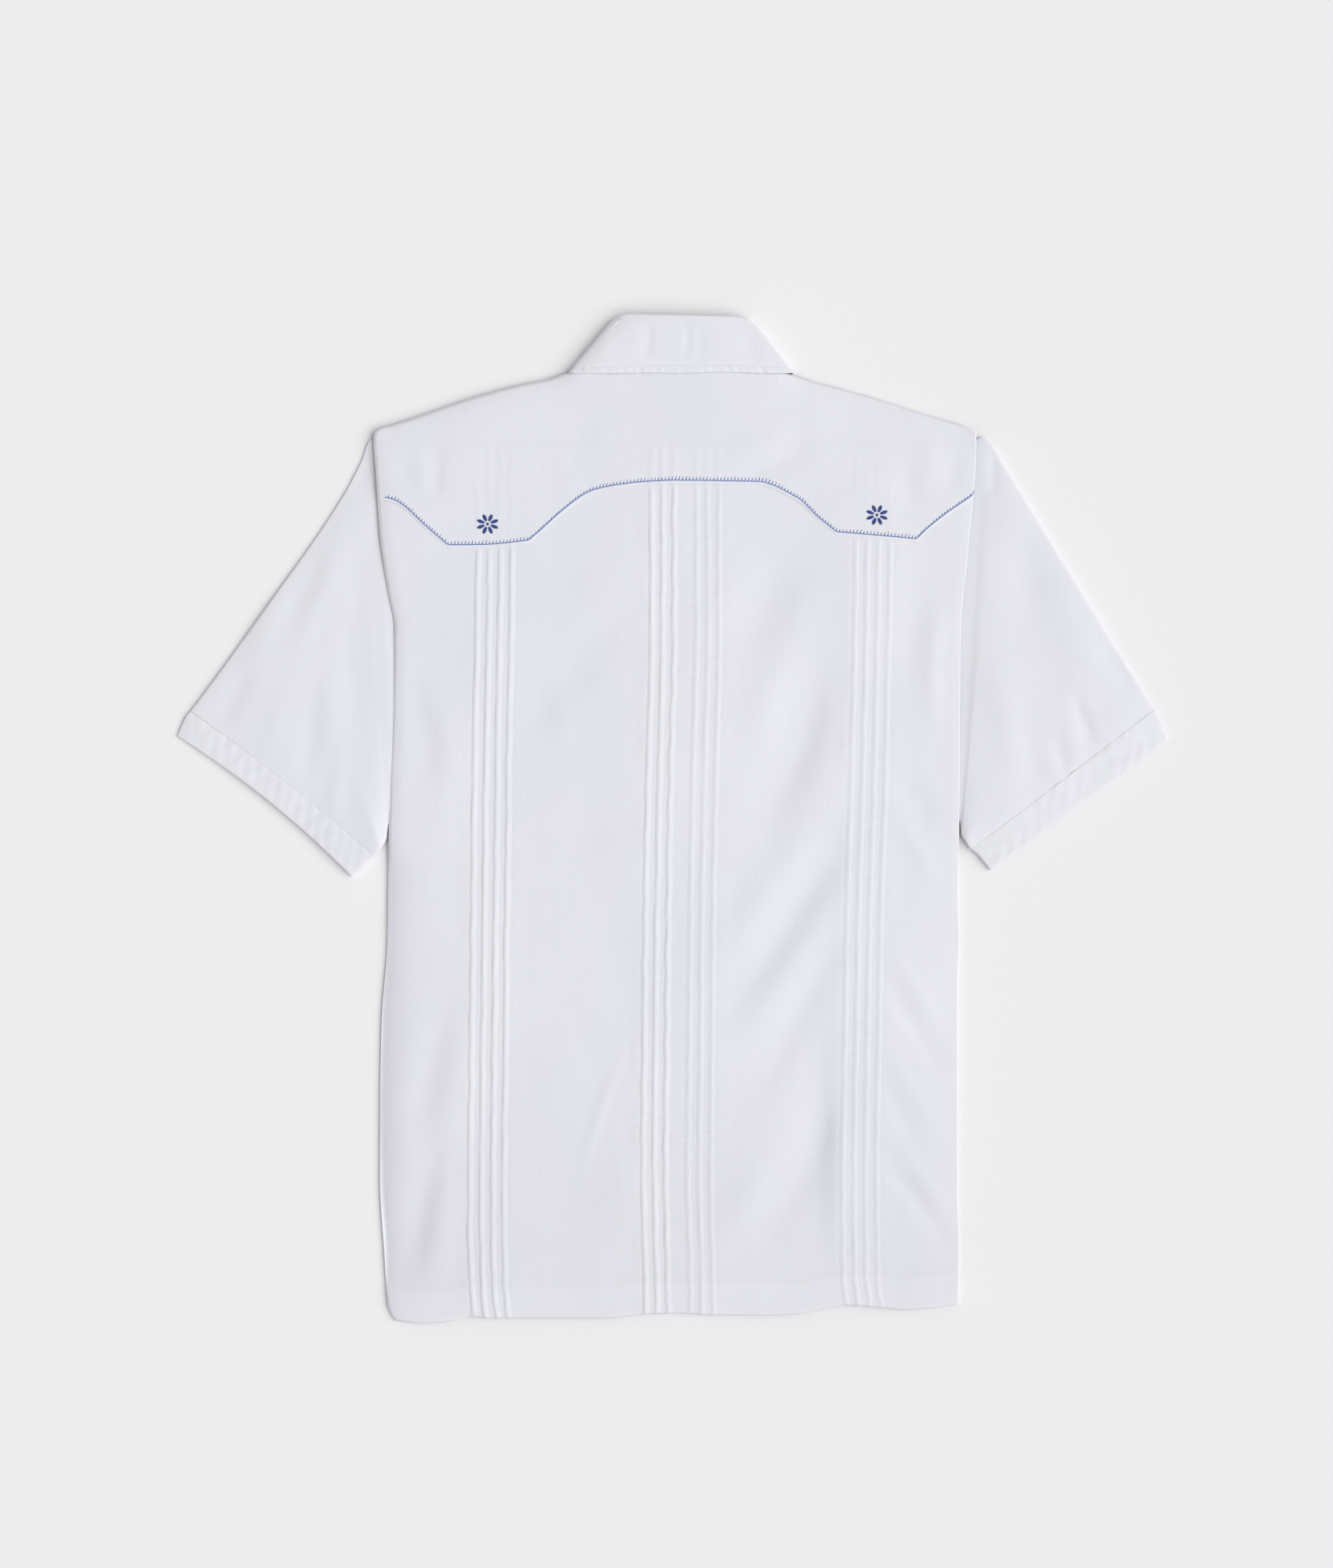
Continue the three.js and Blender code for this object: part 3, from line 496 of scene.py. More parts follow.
@dataclass(frozen=True)
class ClothFinish:
    """A finish of woven cotton.

    Attributes:
        name: The material's name.
        colour: Its base colour.
        roughness: Its roughness.
        weave: How far its threads stand out, in millimetres.
        rumple: How far its small wrinkles stand out, in millimetres.
    """

    name: str
    colour: tuple[float, float, float]
    roughness: float = 0.85
    weave: float = 0.03
    rumple: float = 0.16

    def build(self, grain: bpy.types.NodeTree) -> bpy.types.Material:
        """Makes the material.

        Args:
            grain: The node group of the cloth's grain.

        Returns:
            The material.
        """
        material, shader = new_material(self.name, {
            "Roughness": self.roughness, "Sheen Weight": 0.12, "Sheen Roughness": 0.5, "Specular IOR Level": 0.25,
        })
        nodes, links = material.node_tree.nodes, material.node_tree.links
        place = nodes.new("ShaderNodeUVMap")
        place.uv_map = "cloth"
        group = nodes.new("ShaderNodeGroup")
        group.node_tree = grain
        group.inputs["Colour"].default_value = (*self.colour, 1)
        group.inputs["Weave"].default_value = self.weave
        group.inputs["Rumple"].default_value = self.rumple
        bump = nodes.new("ShaderNodeBump")
        bump.inputs["Strength"].default_value = 1
        bump.inputs["Distance"].default_value = MM
        # The second mark lightens a second layer of cloth, and where it is negative it darkens the colour as painted
        # shade.
        for mark in ("Pucker", "Doubled"):
            amount = nodes.new("ShaderNodeAttribute")
            amount.attribute_name = mark.lower()
            links.new(amount.outputs["Fac"], group.inputs[mark])
        links.new(place.outputs["UV"], group.inputs["Place"])
        links.new(group.outputs["Colour"], shader.inputs["Base Color"])
        links.new(group.outputs["Height"], bump.inputs["Height"])
        links.new(bump.outputs["Normal"], shader.inputs["Normal"])
        return material


@dataclass(frozen=True)
class ThreadFinish:
    """A finish of twisted sewing thread."""

    name: str
    colour: tuple[float, float, float]
    roughness: float = 0.55

    def build(self) -> bpy.types.Material:
        """Makes the material, whose twist shows as fine slanting bands, in relief and as painted shade and
        highlight.
        """
        material, shader = new_material(self.name, {"Roughness": self.roughness, "Sheen Weight": 0.2})
        nodes, links = material.node_tree.nodes, material.node_tree.links
        place = nodes.new("ShaderNodeTexCoord")
        twist = nodes.new("ShaderNodeTexWave")
        twist.bands_direction = "DIAGONAL"
        twist.inputs["Scale"].default_value = 900
        twist.inputs["Distortion"].default_value = 1.5
        # Darker and lighter copies of the thread's colour along the twist: painted shade in its grooves and painted
        # highlight on its ridges.
        tone = nodes.new("ShaderNodeMix")
        tone.data_type = "RGBA"
        tone.inputs["A"].default_value = (*[c * 0.72 for c in self.colour], 1)
        tone.inputs["B"].default_value = (*[min(1, c * 1.18) for c in self.colour], 1)
        bump = nodes.new("ShaderNodeBump")
        bump.inputs["Distance"].default_value = 0.05 * MM
        links.new(place.outputs["Object"], twist.inputs["Vector"])
        links.new(twist.outputs["Fac"], tone.inputs["Factor"])
        links.new(tone.outputs["Result"], shader.inputs["Base Color"])
        links.new(twist.outputs["Fac"], bump.inputs["Height"])
        links.new(bump.outputs["Normal"], shader.inputs["Normal"])
        return material


@dataclass(frozen=True)
class ShellFinish:
    """A finish of pale polished shell, for buttons."""

    name: str = "button_shell"
    colour: tuple[float, float, float] = (0.8, 0.78, 0.73)
    roughness: float = 0.22

    def build(self) -> bpy.types.Material:
        """Makes the material, with soft cloudy bands in it."""
        material, shader = new_material(self.name, {"Roughness": self.roughness, "Coat Weight": 0.4})
        nodes, links = material.node_tree.nodes, material.node_tree.links
        place = nodes.new("ShaderNodeTexCoord")
        cloud = nodes.new("ShaderNodeTexNoise")
        cloud.inputs["Scale"].default_value = 260
        cloud.inputs["Distortion"].default_value = 1.2
        tone = nodes.new("ShaderNodeMix")
        tone.data_type = "RGBA"
        tone.inputs["A"].default_value = (*self.colour, 1)
        tone.inputs["B"].default_value = (0.9, 0.9, 0.92, 1)
        links.new(place.outputs["Object"], cloud.inputs["Vector"])
        links.new(cloud.outputs["Fac"], tone.inputs["Factor"])
        links.new(tone.outputs["Result"], shader.inputs["Base Color"])
        return material


def group_socket(group: bpy.types.NodeTree, name: str, kind: str, way: str, value: float | None = None) -> None:
    """Adds a socket to a node group.

    Args:
        group: The group.
        name: The socket's name.
        kind: Float, Vector or Color.
        way: INPUT or OUTPUT.
        value: Its first value, where it is a number.
    """
    socket = group.interface.new_socket(name, in_out=way, socket_type=f"NodeSocket{kind}")
    if value is not None:
        socket.default_value = value


def cotton_grain() -> bpy.types.NodeTree:
    """Builds the node group of the cotton's grain: its threads, its slubs, its tone and its small wrinkles, with a
    second layer of cloth lightened and painted shade darkening it where marked.

    Returns:
        The group, which reads a place in metres and puts out a colour and a height in millimetres.
    """
    group = bpy.data.node_groups.new("cotton_grain", "ShaderNodeTree")
    group_socket(group, "Place", "Vector", "INPUT")
    group_socket(group, "Colour", "Color", "INPUT")
    group_socket(group, "Weave", "Float", "INPUT", 0.03)
    group_socket(group, "Rumple", "Float", "INPUT", 0.16)
    group_socket(group, "Pucker", "Float", "INPUT", 0.0)
    group_socket(group, "Doubled", "Float", "INPUT", 0.0)
    group_socket(group, "Colour", "Color", "OUTPUT")
    group_socket(group, "Height", "Float", "OUTPUT")
    nodes, links = group.nodes, group.links
    source, sink = nodes.new("NodeGroupInput"), nodes.new("NodeGroupOutput")

    def mapped(scale: tuple[float, float, float]) -> bpy.types.NodeSocket:
        """The place, stretched by a scale along each axis."""
        node = nodes.new("ShaderNodeMapping")
        node.inputs["Scale"].default_value = scale
        links.new(source.outputs["Place"], node.inputs["Vector"])
        return node.outputs["Vector"]

    def noise(scale: tuple[float, float, float], detail: float) -> bpy.types.NodeSocket:
        """Noise whose grains are one unit after the place is scaled."""
        node = nodes.new("ShaderNodeTexNoise")
        node.inputs["Scale"].default_value = 1
        node.inputs["Detail"].default_value = detail
        links.new(mapped(scale), node.inputs["Vector"])
        return node.outputs["Fac"]

    def math_node(operation: str, first: object, second: object, third: object = 0.0) -> bpy.types.NodeSocket:
        """A math node on sockets or numbers."""
        node = nodes.new("ShaderNodeMath")
        node.operation = operation
        for socket, value in zip(node.inputs, (first, second, third)):
            if isinstance(value, bpy.types.NodeSocket):
                links.new(value, socket)
            else:
                socket.default_value = value
        return node.outputs[0]

    warp = nodes.new("ShaderNodeTexWave")
    warp.inputs["Scale"].default_value = 1
    warp.inputs["Distortion"].default_value = 0.6
    links.new(mapped((330, 0, 0)), warp.inputs["Vector"])
    weft = nodes.new("ShaderNodeTexWave")
    weft.bands_direction = "Y"
    weft.inputs["Scale"].default_value = 1
    weft.inputs["Distortion"].default_value = 0.6
    links.new(mapped((0, 330, 0)), weft.inputs["Vector"])
    threads = math_node("MULTIPLY", math_node("ADD", warp.outputs["Fac"], weft.outputs["Fac"]), 0.5)
    slubs = noise((1100, 30, 1), 2)
    cross_slubs = noise((40, 1300, 1), 1)
    tone = noise((26, 14, 1), 3)
    rumple = noise((95, 60, 1), 3)

    shade = math_node("MULTIPLY_ADD", slubs, 0.05, 0.975)
    shade = math_node("MULTIPLY", shade, math_node("MULTIPLY_ADD", cross_slubs, 0.02, 0.99))
    shade = math_node("MULTIPLY", shade, math_node("MULTIPLY_ADD", tone, 0.03, 0.985))
    # A second layer of cloth, as in the hem, lightens the colour; negative marks are painted shade, darkening the
    # back towards its bottom.
    shade = math_node("MULTIPLY", shade, math_node("MULTIPLY_ADD", source.outputs["Doubled"], 0.02, 1.0))
    tint = nodes.new("ShaderNodeVectorMath")
    tint.operation = "SCALE"
    links.new(source.outputs["Colour"], tint.inputs[0])
    links.new(shade, tint.inputs["Scale"])
    lavender = nodes.new("ShaderNodeMix")
    lavender.data_type = "RGBA"
    lavender.blend_type = "MULTIPLY"
    lavender.inputs["B"].default_value = (0.97, 0.965, 1.0, 1)
    links.new(math_node("MULTIPLY_ADD", noise((9, 4, 1), 1), 2.4, -0.95), lavender.inputs["Factor"])
    links.new(tint.outputs["Vector"], lavender.inputs["A"])
    links.new(lavender.outputs["Result"], sink.inputs["Colour"])

    relief = math_node("MULTIPLY", math_node("MULTIPLY_ADD", slubs, 1.2, threads), source.outputs["Weave"])
    wrinkles = math_node("MULTIPLY", rumple, source.outputs["Rumple"])
    puckers = math_node("MULTIPLY", noise((70, 210, 1), 2), source.outputs["Pucker"])
    links.new(math_node("ADD", math_node("ADD", relief, wrinkles), puckers), sink.inputs["Height"])
    return group


@dataclass
class Wardrobe:
    """The finishes that the shirt is made in."""

    cotton: bpy.types.Material = field(init=False)
    plain: bpy.types.Material = field(init=False)
    blue: bpy.types.Material = field(init=False)
    navy: bpy.types.Material = field(init=False)
    white: bpy.types.Material = field(init=False)
    shell: bpy.types.Material = field(init=False)

    def __post_init__(self) -> None:
        """Makes each finish once."""
        grain = cotton_grain()
        self.cotton = ClothFinish("shirt_cotton", (0.79, 0.797, 0.84)).build(grain)
        self.plain = ClothFinish("band_cotton", (0.80, 0.807, 0.848), rumple=0.1).build(grain)
        self.blue = ThreadFinish("picot_thread", (0.07, 0.16, 0.5)).build()
        self.navy = ThreadFinish("flower_thread", (0.02, 0.05, 0.27)).build()
        self.white = ThreadFinish("white_thread", (0.78, 0.79, 0.83)).build()
        self.shell = ShellFinish().build()


# ----------------------------------------------------------------------------------------------- cloth pieces


def spread(counts: Sequence[int]) -> Array:
    """Places along a row of stretches, each cut evenly.

    Args:
        counts: How many cells each stretch has.

    Returns:
        The places, where whole numbers are the ends of the stretches.
    """
    parts = [i + np.arange(count) / count for i, count in enumerate(counts)]
    return np.concatenate([*parts, [len(counts)]])


def between(anchors: Sequence[Array], place: Array) -> Array:
    """A value part of the way along a row of anchors.

    Args:
        anchors: The values at whole places, each an array like place.
        place: Where it is read.

    Returns:
        The value at each place.
    """
    stack = np.stack([np.broadcast_to(anchor, np.shape(place)) for anchor in anchors])
    i = np.clip(np.floor(place).astype(int), 0, len(anchors) - 2)
    low = np.take_along_axis(stack, i[None], 0)[0]
    high = np.take_along_axis(stack, i[None] + 1, 0)[0]
    return mix(low, high, place - i)


def add_object(name: str, data: bpy.types.ID) -> bpy.types.Object:
    """Makes an object and puts it in the scene."""
    made = bpy.data.objects.new(name, data)
    bpy.context.scene.collection.objects.link(made)
    return made


def no_marks(x: Array, y: Array) -> tuple[Array, Array]:
    """Cloth with no puckers, no second layer and no painted shade."""
    return 0 * x, 0 * x


@dataclass
class ClothPiece:
    """A piece of cloth made from a grid whose points are moved to their places.

    Attributes:
        name: The piece's name.
        nodes: The solids that it stands for.
        columns: What its shape is given for each column, from side to side.
        rows: What its shape is given for each row, along its length.
        flat: The width and length that it was cut to.
        area: The area of the cut; not used.
        thickness: The cloth's thickness.
        facing: Which way its outer side faces.
        closed: Whether its two sides are sewn together, as on a sleeve.
    """

    name: str
    nodes: tuple[str, ...]
    columns: Array
    rows: Array
    flat: tuple[float, float]
    area: float
    thickness: float = 0.5
    facing: Hang = Hang.UP
    closed: bool = False

    def build(
        self,
        shape: Callable[[Array, Array], tuple[Array, Array, Array]],
        finish: bpy.types.Material,
        marks: Callable[[Array, Array], tuple[Array, Array]] = no_marks,
    ) -> bpy.types.Object:
        """Makes the piece.

        Args:
            shape: Gives the points' x, y and z for their columns and rows.
            finish: Its material.
            marks: Gives how puckered the cloth is, and how far its colour is lightened for a second layer or
                darkened as painted shade, for x and y.

        Returns:
            The piece, riding on the shirt.
        """
        mesh = bpy.data.meshes.new(self.name)
        across, up = len(self.columns) - 1, len(self.rows) - 1
        cloth = bmesh.new()
        bmesh.ops.create_grid(cloth, x_segments=across, y_segments=up, size=0.5, calc_uvs=True)
        if self.facing is Hang.DOWN:
            bmesh.ops.reverse_faces(cloth, faces=cloth.faces)
        cloth.loops.layers.uv.verify()
        cloth.to_mesh(mesh)
        cloth.free()
        grid = np.empty(len(mesh.vertices) * 3)
        mesh.vertices.foreach_get("co", grid)
        i, j = np.round((grid.reshape(-1, 3)[:, :2] + 0.5).T * ((across,), (up,))).astype(int)
        spots = np.column_stack(shape(self.columns[i], self.rows[j]))
        corners = np.empty(len(mesh.loops), int)
        mesh.loops.foreach_get("vertex_index", corners)
        mesh.vertices.foreach_set("co", (spots * MM).ravel())
        mesh.uv_layers[0].name = "cloth"
        mesh.uv_layers[0].uv.foreach_set("vector", (spots[corners, :2] * MM).ravel())
        for name, amount in zip(("pucker", "doubled"), marks(spots[:, 0], spots[:, 1])):
            mesh.attributes.new(name, "FLOAT", "POINT").data.foreach_set("value", amount)
        if self.closed:
            self.sew_shut(mesh)
        mesh.shade_smooth()
        mesh.materials.append(finish)
        piece = add_object(self.name, mesh)
        if self.thickness:
            wall = piece.modifiers.new("cloth", "SOLIDIFY")
            wall.thickness = self.thickness * MM
            wall.offset = 0
        return self.declare(piece)

    def sew_shut(self, mesh: bpy.types.Mesh) -> None:
        """Joins the points that lie together, along the cloth's seam."""
        cloth = bmesh.new()
        cloth.from_mesh(mesh)
        bmesh.ops.remove_doubles(cloth, verts=cloth.verts, dist=2e-6)
        cloth.to_mesh(mesh)
        cloth.free()

    def declare(self, piece: bpy.types.Object) -> bpy.types.Object:
        """Hides the solids that the piece stands for, puts it on the shirt and logs its cells."""
        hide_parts(*self.nodes)
        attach(piece, "root")
        width, length = self.flat
        LOG.info("%s: %d by %d cells", self.name, len(self.columns) - 1, len(self.rows) - 1)
        return piece


@dataclass
class Stitching:
    """A row of stitches, each a short round thread lying on the cloth.

    Attributes:
        name: The piece's name.
        radius: The thread's radius.
        sides: How many sides each thread has.
    """

    name: str
    radius: float = SEAM_THREAD
    sides: int = 6

    def __post_init__(self) -> None:
        """Starts with no thread."""
        self.threads: list[tuple[Vector, Vector, float]] = []

    def thread(self, start: Sequence[float], end: Sequence[float], radius: float | None = None) -> None:
        """Lays one thread from start to end, rounded at its ends.

        Args:
            start: Where it comes out of the cloth.
            end: Where it goes back in.
            radius: Its own radius, where it differs.
        """
        self.threads.append((Vector(start), Vector(end), radius or self.radius))

    def places(self) -> Iterable[Matrix]:
        """Where each thread goes, as a turn and a stretch of one round bead."""
        for start, end, radius in self.threads:
            along = end - start
            turn = along.to_track_quat("Z", "Y").to_matrix().to_4x4()
            size = Matrix.Diagonal((radius, radius, along.length / 2 + radius * 0.6, 1))
            yield Matrix.Scale(MM, 4) @ Matrix.Translation((start + end) / 2) @ turn @ size

    def run(self, path: Array, stitch: float = STITCH) -> None:
        """Sews a running row along a path.

        Args:
            path: Its points, one to a row.
            stitch: The length of a stitch.
        """
        steps = np.linalg.norm(np.diff(path, axis=0), axis=1)
        length = np.concatenate([[0], np.cumsum(steps)])
        for start in np.arange(0, length[-1] - stitch, stitch + STITCH_GAP):
            ends = [[np.interp(s, length, path[:, k]) for k in range(3)] for s in (start, start + stitch)]
            self.thread(*ends)

    def finish(self, material: bpy.types.Material) -> bpy.types.Object:
        """Makes the piece out of its threads.

        Args:
            material: The thread's material.

        Returns:
            The piece, riding on the shirt.
        """
        bead = bmesh.new()
        bmesh.ops.create_uvsphere(bead, u_segments=self.sides, v_segments=4, radius=1)
        points = np.array([(*vert.co, 1) for vert in bead.verts])
        faces = [[vert.index for vert in face.verts] for face in bead.faces]
        bead.free()
        spots = np.concatenate([points @ np.array(place).T for place in self.places()])[:, :3]
        loops = [[v + k * len(points) for v in face] for k in range(len(self.threads)) for face in faces]
        mesh = bpy.data.meshes.new(self.name)
        mesh.from_pydata(spots.tolist(), [], loops)
        mesh.shade_smooth()
        mesh.materials.append(material)
        piece = add_object(self.name, mesh)
        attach(piece, "root")
        LOG.info("%s: %d faces", self.name, len(mesh.polygons))
        return piece


# ------------------------------------------------------------------------------------------------- the panels


@dataclass
class Back:
    """The back below the yoke, with its tucks, its hem and its folds."""

    wardrobe: Wardrobe
    side_cells: tuple[int, int, int] = (7, 10, 18)
    tuck_cells: tuple[int, int, int] = (48, 70, 48)
    plain_cells: tuple[int, int] = (30, 30)
    row_cells: tuple[int, ...] = (16, 128, 4)

    def anchors(self, y: Array) -> list[Array]:
        """The x of each line that the columns follow, from the left edge to the right one."""
        left, right = LEFT_EDGE(y), RIGHT_EDGE(y)
        lines = [left, left + ROLL[-1], left + ROLL[-1] + 7]
        for group in TUCK_GROUPS:
            low, high = group.reach()
            lines += [group.middle(y) + low, group.middle(y) + high]
        return [*lines, right - ROLL[1] - 7, right - ROLL[1], right]

    def cells(self) -> tuple[int, ...]:
        """How many cells lie between those lines."""
        roll, seam, outer = self.side_cells
        left, centre, right = self.tuck_cells
        first, second = self.plain_cells
        return roll, seam, outer, left, first, centre, second, right, outer, seam, roll

    def build(self) -> None:
        """Makes the back and sews its hem."""
        piece = ClothPiece(
            "back", ("back_panel",), spread(self.cells()), spread(self.row_cells), (466, 712), 331000
        )
        piece.build(self.shape, self.wardrobe.cotton, self.marks)
        self.sew_hem()

    def shape(self, column: Array, row: Array) -> tuple[Array, Array, Array]:
        """Where the back's points go, from their columns and rows."""
        rough = between(self.anchors(np.interp(row, [0, 3], [-400, PANEL_TOP])), column)
        low = HEM(rough)
        edge = YOKE_STITCHES(rough) - YOKE_MARGIN
        return self.place(column, between([low, low + HEM_DEPTH + HEM_ALLOWANCE, edge, PANEL_TOP], row))

    def marks(self, x: Array, y: Array) -> tuple[Array, Array]:
        """How puckered the back is beside its seams and tucks, where its cloth lies double, and the painted shade
        that darkens it towards the bottom.
        """
        pucker = 0.55 * seam_pucker(x, y)
        for group in TUCK_GROUPS:
            low, high = group.reach()
            across = x - group.middle(y)
            near = ramp(across, low - 6, low + 4) * (1 - ramp(across, high - 2, high + 12))
            patch = 0.5 + 0.5 * np.tanh(1.3 * waves(0 * y, y, 60, 71 + len(group.name)))
            pucker = pucker + 0.75 * near * patch * (0.5 if group.name == "left" else 1)
        up = y - HEM(x)
        # The hem band is marked as a second layer; the last term darkens the back towards its bottom as painted
        # shade.
        hem = 1 - ramp(up, HEM_DEPTH - 1, HEM_DEPTH) - 2.4 * (1 - ramp(y, -400, -120))
        return pucker + 0.3 * bump_at(up, HEM_DEPTH, 6), hem

    def place(self, column: Array, y: Array) -> tuple[Array, Array, Array]:
        """Where a point of the back goes.

        Args:
            column: How many anchor lines it is from the left edge.
            y: How far up it is.

        Returns:
            Its x, y and z.
        """
        x = between(self.anchors(y), column)
        z = back_height(x, y)
        tucked = 1 - 0.75 * ramp(y - YOKE_STITCHES(x) + YOKE_MARGIN, -3, 1)
        z = z + tucked * sum(group.height(x, y) for group in TUCK_GROUPS) + hem_band(x, y)
        for side, turn in ((Side.LEFT, column), (Side.RIGHT, len(self.cells()) - column)):
            x, z = turn_side(side, np.clip(turn, 0, 1), x, y, z)
        return x, y, z

    def sew_hem(self) -> None:
        """Sews the row of stitches along the top of the hem."""
        rows = Stitching("hem_stitches")
        x = np.linspace(-229, 226, 400)
        y = HEM(x) + HEM_DEPTH - 2
        z = back_height(x, y) + sum(group.height(x, y) for group in TUCK_GROUPS) + hem_band(x, y) + 0.3
        rows.run(np.column_stack([x, y, z]))
        rows.finish(self.wardrobe.white)


def seam_pucker(x: Array, y: Array) -> Array:
    """How puckered the cloth is beside the armhole seams."""
    left = in_armhole(Side.LEFT, y) * bump_at(x - LEFT_EDGE(y), 9, 7)
    right = in_armhole(Side.RIGHT, y) * bump_at(RIGHT_EDGE(y) - x, 6, 5)
    return left + 0.6 * right


def turn_side(side: Side, turn: Array, x: Array, y: Array, z: Array) -> tuple[Array, Array]:
    """Turns the last of the back down to the side seam, or rolls it a little over the armhole.

    Args:
        side: Which side it is.
        turn: 0 at the outline and 1 where the turn begins.
        x: The points' x.
        y: The points' y.
        z: Their height with no turn.

    Returns:
        Their new x and z, the same where turn is 1.
    """
    open_ = in_armhole(side, y)
    angle = turn * QUARTER
    roll = ROLL[side.value]
    outline = x + side.value * roll * turn
    closed_x, closed_z = roll * (1 - np.cos(angle)), (z - SEAM_HEIGHT - 0.3) * (1 - np.sin(angle))
    loose_x, loose_z = roll * turn, 0.9 * (1 - ramp(turn, 0, 0.9)) ** 1.5
    new_x = outline - side.value * mix(closed_x, loose_x, open_)
    new_z = z - mix(closed_z, loose_z, open_)
    inside = turn < 1
    return np.where(inside, new_x, x), np.where(inside, new_z, z)


@dataclass
class Yoke:
    """The pointed yoke over the upper back, its picot stitching and its two stitched flowers."""

    wardrobe: Wardrobe
    column_cells: tuple[int, ...] = (7, 240, 7)
    row_cells: tuple[int, ...] = (5, 8, 64, 10)
    lift: float = 0.55
    picot_thread: float = 0.38
    tick: float = 2.9
    tick_thread: float = 0.36
    pitch: float = 2.8
    petals: int = 8
    petal_thread: float = 0.34
    petal_ends: tuple[float, float] = (2.6, 8.6)
    flower_places: tuple[tuple[float, float], ...] = ((-149, 238.5), (165, 245.8))

    def surface(self, x: Array, y: Array) -> Array:
        """The height of the middle of the yoke's cloth, with what shows through from below."""
        up = y - YOKE_STITCHES(x)
        below = 1 - ramp(y, PANEL_TOP - 6, PANEL_TOP + 2)
        show = below * sum(group.shows * group.height(x, y) for group in TUCK_GROUPS)
        step = 0.4 * (1 - ramp(y, PANEL_TOP - 2.5, PANEL_TOP + 3)) * ramp(y, 240, 262)
        groove = 0.35 * bump_at(up, 0, 1)
        edge = 0.44 * (1 - ramp(up + YOKE_MARGIN, 0, 3.2)) ** 1.3
        pucker = 0.07 * waves(x, y, 7, 21) * bump_at(up, 0, 5)
        return back_height(x, y) + self.lift + show + step - groove - edge + pucker

    def place(self, column: Array, row: Array) -> tuple[Array, Array, Array]:
        """Where a point of the yoke goes, from its column and its row."""
        guess = np.full_like(row, 285.0)
        for _ in range(3):
            left, right = LEFT_EDGE(guess), RIGHT_EDGE(guess)
            x = between([left, left + ROLL[-1], right - ROLL[1], right], column)
            top = SHOULDER(x)
            roll = mix(ROLL[-1], 1.6, ramp(x, -60, 80))
            edge = YOKE_STITCHES(x) - YOKE_MARGIN
            guess = between([edge, edge + 2.4, edge + 7, top - roll, top], row)
        y = guess
        z = self.surface(x, y)
        turn = np.clip(4 - row, 0, 1)
        angle = turn * QUARTER
        over = row > 3
        drop = (z - SEAM_HEIGHT - 0.3) * SHOULDER_FALL(x) * (1 - np.sin(angle))
        y = np.where(over, SHOULDER(x) - roll * (1 - np.cos(angle)), y)
        z = np.where(over, z - drop, z)
        for side, share in ((Side.LEFT, column), (Side.RIGHT, 3 - column)):
            x, z = turn_side(side, np.clip(share, 0, 1), x, y, z)
        return x, y, z

    def build(self) -> None:
        """Makes the yoke, its edge stitching and its flowers."""
        piece = ClothPiece(
            "yoke", ("back_yoke",), spread(self.column_cells), spread(self.row_cells), (488, 148), 50000,
            thickness=0.36,
        )
        piece.build(self.place, self.wardrobe.cotton)
        self.sew_picot()
        self.sew_flowers()

    def sew_picot(self) -> None:
        """Sews the row of blanket stitches along the pointed edge, with a tick up into the yoke at each."""
        rows = Stitching("picot_stitches", self.picot_thread)
        x = np.linspace(-232, 242.6, 1400)
        y = YOKE_STITCHES(x)
        length = np.concatenate([[0], np.cumsum(np.hypot(np.diff(x), np.diff(y)))])
        places = np.arange(0, length[-1], self.pitch)
        px, py = np.interp(places, length, x), np.interp(places, length, y)
        pz = self.surface(px, py) + 0.4
        dice = np.random.default_rng(3)
        for k in range(len(places) - 1):
            start = np.array([px[k], py[k], pz[k]])
            end = np.array([px[k + 1], py[k + 1], pz[k + 1]])
            along = (end - start) / np.linalg.norm(end - start)
            sag = np.array([along[1], -along[0], 0]) * 0.32
            middle = (start + end) / 2 + sag
            rows.thread(start, middle)
            rows.thread(middle, end)
            tick = self.tick * dice.uniform(0.8, 1.12)
            lean = np.array([along[0] * 0.3, 1.0 - 0.25 * abs(along[1]), 0]) * tick
            rows.thread(end, end + lean, self.tick_thread)
        rows.finish(self.wardrobe.blue)

    def sew_flowers(self) -> None:
        """Sews a plain eight-petalled flower at each of the yoke's two points, in satin stitch."""
        for name, (cx, cy) in zip(("flower_left", "flower_right"), self.flower_places):
            flower = Stitching(name, self.petal_thread)
            near, tip = self.petal_ends
            for petal in range(self.petals):
                angle = (petal + 0.5) * 2 * math.pi / self.petals
                for k in np.linspace(-1, 1, 7):
                    splay, far = 0.2 * k, tip - 2.2 * k * k
                    ends = [
                        (cx + r * math.cos(angle + s) * 1.1, cy + r * math.sin(angle + s))
                        for r, s in ((near, splay * 0.9), (far, splay))
                    ]
                    flower.thread(*[(ex, ey, float(self.surface(ex, ey)) + 0.42) for ex, ey in ends])
            for k in range(10):
                angle = k * math.pi / 5
                ex, ey = cx + 1.1 * math.cos(angle), cy + 1.1 * math.sin(angle)
                flower.thread(
                    (cx, cy, float(self.surface(cx, cy)) + 0.6), (ex, ey, float(self.surface(ex, ey)) + 0.5)
                )
            flower.finish(self.wardrobe.navy)


